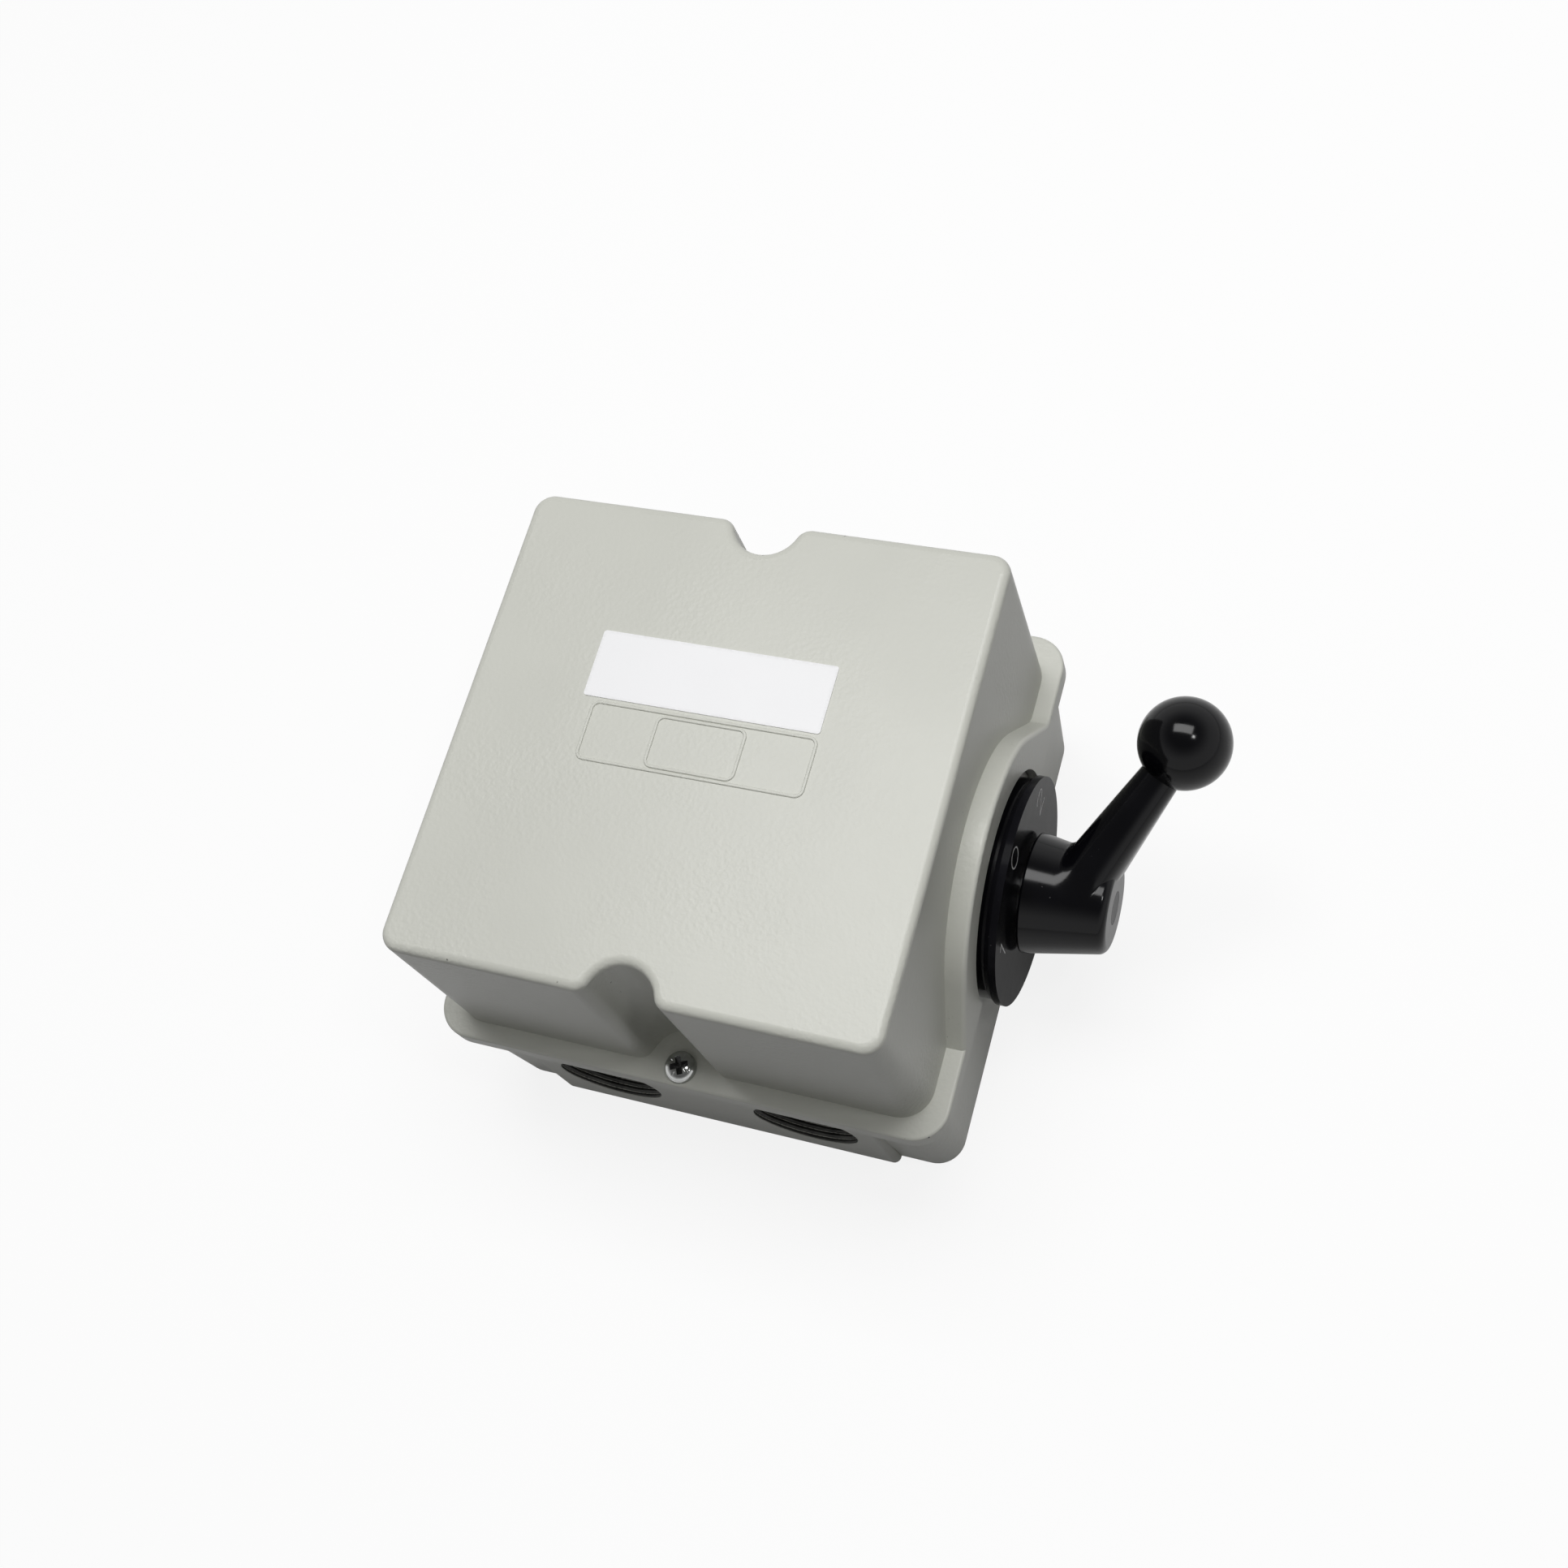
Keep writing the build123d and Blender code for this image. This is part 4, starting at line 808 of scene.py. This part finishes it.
class ScrewSizes(bpy.types.PropertyGroup):
    """Sizes of the lid screws."""

    head_height: length_property("Head Height", "Height of the pan head", 2.9 * MM)
    recess_radius: length_property("Recess Reach", "Reach of the cross", 2.6 * MM)
    recess_arm: length_property("Recess Arm", "Width of the cross's arms", 1.65 * MM)
    recess_depth: length_property("Recess Depth", "Depth of the cross", 1.5 * MM)
    mark_depth: length_property("Mark Depth", "Marks between the arms", 0.16 * MM)
    mark_angle: share_property("Mark Width", "Half width of a mark, in radians", 0.06)
    mark_place: share_property("Mark Place", "Its middle, of the head's radius", 0.6)
    mark_length: share_property("Mark Length", "Its half length, of that radius", 0.1)
    shank_radius: length_property("Shank Radius", "Outside radius of the thread", 1.98 * MM)
    ridge: length_property("Ridge", "Height of the thread's ridge", 0.38 * MM)
    pitch: length_property("Pitch", "Pitch of the thread", 0.7 * MM)


class DialSizes(bpy.types.PropertyGroup):
    """Sizes of the numbers on the dial."""

    height: length_property("Height", "Height of a number", 7.5 * MM)
    width: length_property("Width", "Width of a number", 5.5 * MM)
    stroke: length_property("Stroke", "Width of a stroke", 0.42 * MM)
    proud: length_property("Proud", "Ink above the disc", 0.03 * MM)
    reach_0: length_property("Reach of 0", "Middle of 0 from the axis", 25.8 * MM)
    reach_1: length_property("Reach of 1", "Middle of 1 from the axis", 24.6 * MM)
    reach_2: length_property("Reach of 2", "Middle of 2 from the axis", 25.2 * MM)
    step: angle_property("Step", "Turn from one position to the next", 60.0)


class LeverSizes(bpy.types.PropertyGroup):
    """Sizes of the lever's hub and arm."""

    hub_length: length_property("Hub Length", "Length of the hub", 23.0 * MM)
    hub_radius: length_property("Hub Radius", "Radius at the dial", 16.8 * MM)
    hub_end_radius: length_property("Hub End", "Radius at the outer end", 12.7 * MM)
    hub_edge: length_property("Hub Edge", "Rounded edge of the outer end", 3.0 * MM)
    arm_foot: length_property("Arm Foot", "Arm's start, from the hub's start", 10.4 * MM)
    arm_radius: length_property("Arm Radius", "Radius at the hub's axis", 8.55 * MM)
    arm_half_width: length_property("Arm Half Width", "Its wide radius there", 14.3 * MM)
    squareness: share_property("Squareness", "Power of the oval; under 1 is squarer", 0.66)
    arm_tip_radius: length_property("Arm Tip", "Radius in the ball", 5.15 * MM)
    arm_tip: length_property("Arm Tip Gap", "Arm's end, short of the ball's middle", 5.5 * MM)
    root_rise: length_property("Root Rise", "Start of the hollow curve on the arm", 4.0 * MM)
    root_reach: length_property("Root Reach", "Its end on the hub", 4.5 * MM)
    root_end: length_property("Root End", "Length over which it fades at the hub's end", 2.8 * MM)


class ThreadSizes(bpy.types.PropertyGroup):
    """Sizes of the threads in the cable entries."""

    entry_pitch: length_property("Pitch", "Pitch of the entry thread", 1.5 * MM)
    entry_ridge: length_property("Ridge", "Height of its ridge", 0.55 * MM)


class StageSizes(bpy.types.PropertyGroup):
    """Camera, lamps and floor."""

    eye: vector_property(
        "Eye", "Where the camera stands", (0.1880, -0.16814, 0.56389), "TRANSLATION", "LENGTH"
    )
    aim: vector_property(
        "Aim", "The middle of the view", (0.02611, -0.00473, 0.1120), "TRANSLATION", "LENGTH"
    )
    roll: angle_property("Roll", "Turn of the camera about its own view", 31.296)
    lens: FloatProperty(name="Lens", description="Focal length", default=46.2, unit="CAMERA")
    floor: colour_property("Floor", "Pale floor", (0.93, 0.93, 0.93))
    ground: colour_property("Ground", "Floor as matt surfaces see it", (0.07, 0.07, 0.07))
    glow: share_property("Glow", "How much of the floor's shadow is filled", 0.85)
    mirrored_glow: share_property("Mirrored Glow", "The same in reflections", 0.15)
    sky: share_property("Sky", "Level of the even light overhead", 0.42)
    zenith: share_property("Zenith", "Level overhead in reflections", 0.16)
    horizon_low: share_property("Horizon Start", "Height where the white ends", 0.35)
    horizon_high: share_property("Horizon End", "Height where the zenith starts", 0.9)
    key: share_property("Key", "Level of the main lamp", 0.72)
    key_from: vector_property("Key From", "Direction to it", (0.0, 0.24, 0.96), "XYZ")
    key_spread: vector_property("Key Spread", "Its angles across", (0.75, 0.34), unit="ROTATION")
    second: share_property("Second", "Level of the second lamp", 0.10)
    second_from: vector_property("Second From", "Direction to it", (0.45, 0.0, 0.89), "XYZ")
    second_spread: vector_property("Second Spread", "Its angles", (0.1, 0.1), unit="ROTATION")
    lamp_distance: length_property("Lamp Distance", "From the switch's middle", 1.6)
    floor_half: length_property("Floor Half", "Half the floor's side", 3.0)
    floor_gap: length_property("Floor Gap", "Floor under the switch", 0.02 * MM)


# ---------------------------------------------------------------- operators


class SWITCH_OT_box_paint(bpy.types.Operator):
    """Paints the base and the lid"""

    bl_idname = "motor_switch.box_paint"
    bl_label = "Box Paint"

    def execute(self, context):
        assign(casting_paint(context.scene.switch_looks), "painted_casting")
        return {"FINISHED"}


class SWITCH_OT_lever_and_dial(bpy.types.Operator):
    """Finishes the handle, its ball and cap, and the dial"""

    bl_idname = "motor_switch.lever_and_dial"
    bl_label = "Lever and Dial"

    def execute(self, context):
        look = context.scene.switch_looks
        gloss = gloss_moulding("gloss_black_moulding", look.black, look.black_shine)
        assign(gloss, "black_moulding")
        assign(satin_moulding("satin_cap", look.cap, look), "grey_cap")
        disc = gloss_moulding("gloss_disc", look.disc, look.disc_shine)
        repaint("dial_disc", disc)
        return {"FINISHED"}


class SWITCH_OT_lever_arm(bpy.types.Operator):
    """Gives the lever's arm its oval section"""

    bl_idname = "motor_switch.lever_arm"
    bl_label = "Lever Arm"

    def execute(self, context):
        low, high = (np.array(corner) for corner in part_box("ball_knob"))
        arm = lever_arm_skin(context.scene.switch_lever, 0.5 * (low + high))
        black = bpy.data.materials["gloss_black_moulding"]
        piece("lever_arm", [arm], "lever", black)
        return {"FINISHED"}


class SWITCH_OT_label_and_seals(bpy.types.Operator):
    """Finishes the blank label and the rubber seals"""

    bl_idname = "motor_switch.label_and_seals"
    bl_label = "Label and Seals"

    def execute(self, context):
        look = context.scene.switch_looks
        assign(label_film(look), "blank_label")
        assign(soft_rubber(look), "rubber_seal")
        return {"FINISHED"}


class SWITCH_OT_inner_works(bpy.types.Operator):
    """Finishes the switch inside the box: plates, shaft, chambers, rotors and contacts"""

    bl_idname = "motor_switch.inner_works"
    bl_label = "Inner Works"

    def execute(self, context):
        look = context.scene.switch_looks
        zinc = metal("zinc_plate", look.zinc, (0.35, 0.33, 0.26), 0.26, (1, 1, 1))
        steel = metal("drawn_steel", look.steel, (0.2, 0.17, 0.13), 0.2, (0.08, 1, 1))
        brass = metal("rolled_brass", look.brass, (0.3, 0.16, 0.07), 0.24, (1, 0.2, 1))
        assign(zinc, "zinc_plated_steel")
        assign(steel, "bright_steel")
        assign(brass, "brass")
        assign(satin_moulding("white_moulding", look.white, look), "white_moulding")
        assign(moulded_phenolic(look), "phenolic")
        return {"FINISHED"}


class SWITCH_OT_lid_screws(bpy.types.Operator):
    """Makes the two threaded lid screws with cross recesses"""

    bl_idname = "motor_switch.lid_screws"
    bl_label = "Lid Screws"

    def execute(self, context):
        size = context.scene.switch_screws
        look = context.scene.switch_looks
        head_radius = 0.5 * (SCREW_HIGH.x - SCREW_LOW.x)
        seat = SCREW_HIGH.z - size.head_height
        places, faces = lid_screw_skin(size, head_radius, SCREW_LOW.z - seat)
        skins = []
        rows_y = (SCREW_LOW.y + head_radius, SCREW_HIGH.y - head_radius)
        for middle_y, angle in zip(rows_y, SCREW_TURNS):
            cos, sin = np.cos(angle), np.sin(angle)
            turn = np.array([[cos, -sin, 0], [sin, cos, 0], [0, 0, 1]])
            middle = [0.5 * (SCREW_LOW.x + SCREW_HIGH.x), middle_y, seat]
            skins.append((places @ turn.T + middle, faces))
        zinc = screw_zinc(look, size)
        screws = piece("lid_screw_heads", skins, "lid", zinc, SCREW_EDGE)
        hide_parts("lid_screws")
        return {"FINISHED"}


class SWITCH_OT_dial_numbers(bpy.types.Operator):
    """Prints the position numbers on the dial disc"""

    bl_idname = "motor_switch.dial_numbers"
    bl_label = "Dial Numbers"

    def execute(self, context):
        size = context.scene.switch_dial
        numbers = (
            ("0", 0.0, size.reach_0),
            ("2", size.step, size.reach_2),
            ("1", -size.step, size.reach_1),
        )
        skins = [
            stroke_skin(line * [2 * size.width, size.height], closed, size, angle, reach)
            for digit, angle, reach in numbers
            for line, closed in numeral_strokes(digit)
        ]
        ink = dial_ink(context.scene.switch_looks)
        piece("dial_numbers", skins, "enclosure", ink)
        return {"FINISHED"}


class SWITCH_OT_entry_threads(bpy.types.Operator):
    """Cuts the gland threads in both cable entries"""

    bl_idname = "motor_switch.entry_threads"
    bl_label = "Entry Threads"

    def execute(self, context):
        size = context.scene.switch_threads
        # Thread finish whose dark tone is partly painted shade of the bores.
        shaded_bare = cut_thread(context.scene.switch_looks)
        for side in ("left", "right"):
            lining = entry_thread_skin(size, MOUNTS["cable_entry_" + side])
            piece("entry_thread_" + side, [lining], "enclosure", shaded_bare)
        return {"FINISHED"}


def area_lamp(name, towards, level, spread, distance, middle):
    """Rectangular lamp that looks at the middle from a direction, with the width and height that
    its spread of angles takes up. Its power is the level times pi squared times the distance
    squared, so that a white surface square to it shows that level."""
    lamp = bpy.data.lights.new(name, "AREA")
    lamp.shape = "RECTANGLE"
    lamp.size, lamp.size_y = (2 * distance * np.tan(0.5 * angle) for angle in spread)
    lamp.energy = level * np.pi**2 * distance**2
    holder = bpy.data.objects.new(name, lamp)
    towards = unit(np.array(towards))
    aim_object(holder, middle + distance * towards, -towards, (0, 1, 0), 0.0)
    bpy.context.scene.collection.objects.link(holder)


def aim_object(obj, eye, view, upright, roll):
    """Stands an object at a point, looking along a direction. Up is the upright less its share
    along the view, turned about the view by the roll."""
    view = unit(view)
    across = unit(np.cross(view, upright))
    up = np.cross(across, view) * np.cos(roll) + across * np.sin(roll)
    across = np.cross(view, up)
    pose = np.eye(4)
    pose[:3, 0], pose[:3, 1], pose[:3, 2], pose[:3, 3] = across, up, -view, eye
    obj.matrix_world = Matrix(pose.tolist())


def sight(f):
    """Two wires: 1 for what the camera shows, and 1 for what a reflection or clear glass shows."""
    rays = f.node("ShaderNodeLightPath", {}, {})
    camera, glossy, clear = (
        Wire(f, rays.outputs[name])
        for name in ("Is Camera Ray", "Is Glossy Ray", "Is Transmission Ray")
    )
    return camera, glossy.most(clear)


def floor_finish(size):
    """Pale floor that shows as white but keeps a soft shadow, deeper where it is mirrored. It is
    dimmer to light that falls on it and comes back."""
    f = new_finish("pale_floor")
    camera, mirrored = sight(f)
    tone = f.blend(camera.most(mirrored), rgba(size.ground), rgba(size.floor))
    matt = f.wire("ShaderNodeBsdfDiffuse", {}, {"Color": tone})
    glow = f.wire("ShaderNodeEmission", {}, {"Color": (1, 1, 1, 1), "Strength": 1.0})
    share = (camera * size.glow).most(mirrored * size.mirrored_glow)
    both = f.wire("ShaderNodeMixShader", {}, {0: share, 1: matt, 2: glow})
    f.node("ShaderNodeOutputMaterial", {}, {"Surface": both})
    return f.owner


def even_light(size, world):
    """Light from all round, white near the horizon and grey overhead where it is seen or mirrored,
    and dimmer where it falls on things."""
    f = Finish(world)
    camera, mirrored = sight(f)
    direction = f.wire("ShaderNodeTexCoord", {}, {}, "Generated")
    height = f.parts(direction)[2]
    overhead = height.above(size.horizon_low, size.horizon_high)
    shown = 1.0 - (1.0 - size.zenith) * overhead
    fallen = size.sky * height.most(0.0) ** 1.5
    level = fallen + camera.most(mirrored) * (shown - fallen)
    sockets = {"Color": (1, 1, 1, 1), "Strength": level}
    glow = f.wire("ShaderNodeBackground", {}, sockets)
    f.node("ShaderNodeOutputWorld", {}, {"Surface": glow})


class SWITCH_OT_stage(bpy.types.Operator):
    """Sets up the floor, the even light, the lamps and the camera"""

    bl_idname = "motor_switch.stage"
    bl_label = "Stage"

    def execute(self, context):
        size = context.scene.switch_stage
        low, high = (np.array(corner) for corner in cad_box)
        middle = 0.5 * (low + high)
        mesh = bpy.data.meshes.new("floor")
        corners = np.array([[-1, -1, 0], [1, -1, 0], [1, 1, 0], [-1, 1, 0]])
        corners = size.floor_half * corners + [0, 0, low[2] - size.floor_gap]
        mesh.from_pydata(corners, [], [[0, 1, 2, 3]])
        mesh.materials.append(floor_finish(size))
        floor = bpy.data.objects.new("floor", mesh)
        context.scene.collection.objects.link(floor)

        world = bpy.data.worlds.new("even_light")
        context.scene.world = world
        even_light(size, world)
        for name, towards, level, spread in (
            ("main_lamp", size.key_from, size.key, size.key_spread),
            ("second_lamp", size.second_from, size.second, size.second_spread),
        ):
            area_lamp(name, towards, level, spread, size.lamp_distance, middle)

        eye, aim = np.array(size.eye), np.array(size.aim)
        camera = bpy.data.cameras.new("camera")
        camera.lens = size.lens
        holder = bpy.data.objects.new("camera", camera)
        aim_object(holder, eye, aim - eye, (0, 0, 1), size.roll)
        context.scene.collection.objects.link(holder)
        context.scene.camera = holder
        context.scene.view_settings.view_transform = "Standard"
        return {"FINISHED"}


class SWITCH_PT_sidebar(bpy.types.Panel):
    """Sizes, colours and steps of the motor switch"""

    bl_label = "Motor Switch"
    bl_idname = "SWITCH_PT_sidebar"
    bl_space_type = "VIEW_3D"
    bl_region_type = "UI"
    bl_category = "Motor Switch"

    def draw(self, context):
        for name, _, *steps in GROUPS:
            group = getattr(context.scene, name)
            box = self.layout.box()
            box.label(text=type(group).__doc__)
            for key in type(group).__annotations__:
                box.prop(group, key)
            for step in steps:
                box.operator(step.bl_idname)


GROUPS = (
    (
        "switch_looks",
        SwitchLooks,
        SWITCH_OT_box_paint,
        SWITCH_OT_lever_and_dial,
        SWITCH_OT_label_and_seals,
        SWITCH_OT_inner_works,
    ),
    ("switch_screws", ScrewSizes, SWITCH_OT_lid_screws),
    ("switch_dial", DialSizes, SWITCH_OT_dial_numbers),
    ("switch_lever", LeverSizes, SWITCH_OT_lever_arm),
    ("switch_threads", ThreadSizes, SWITCH_OT_entry_threads),
    ("switch_stage", StageSizes, SWITCH_OT_stage),
)
CLASSES = (*(cls for _, *classes in GROUPS for cls in classes), SWITCH_PT_sidebar)


def register():
    """Adds the classes and the scene's settings to Blender."""
    for cls in CLASSES:
        bpy.utils.register_class(cls)
    for name, group, *_ in GROUPS:
        setattr(bpy.types.Scene, name, PointerProperty(type=group))


def unregister():
    """Takes them away again."""
    for name, *_ in GROUPS:
        delattr(bpy.types.Scene, name)
    for cls in reversed(CLASSES):
        bpy.utils.unregister_class(cls)


def main():
    register()
    bpy.ops.motor_switch.box_paint()
    bpy.ops.motor_switch.lever_and_dial()
    bpy.ops.motor_switch.label_and_seals()
    bpy.ops.motor_switch.inner_works()
    bpy.ops.motor_switch.lid_screws()
    bpy.ops.motor_switch.dial_numbers()
    bpy.ops.motor_switch.lever_arm()
    bpy.ops.motor_switch.entry_threads()
    bpy.ops.motor_switch.stage()


if __name__ == "__main__":
    main()
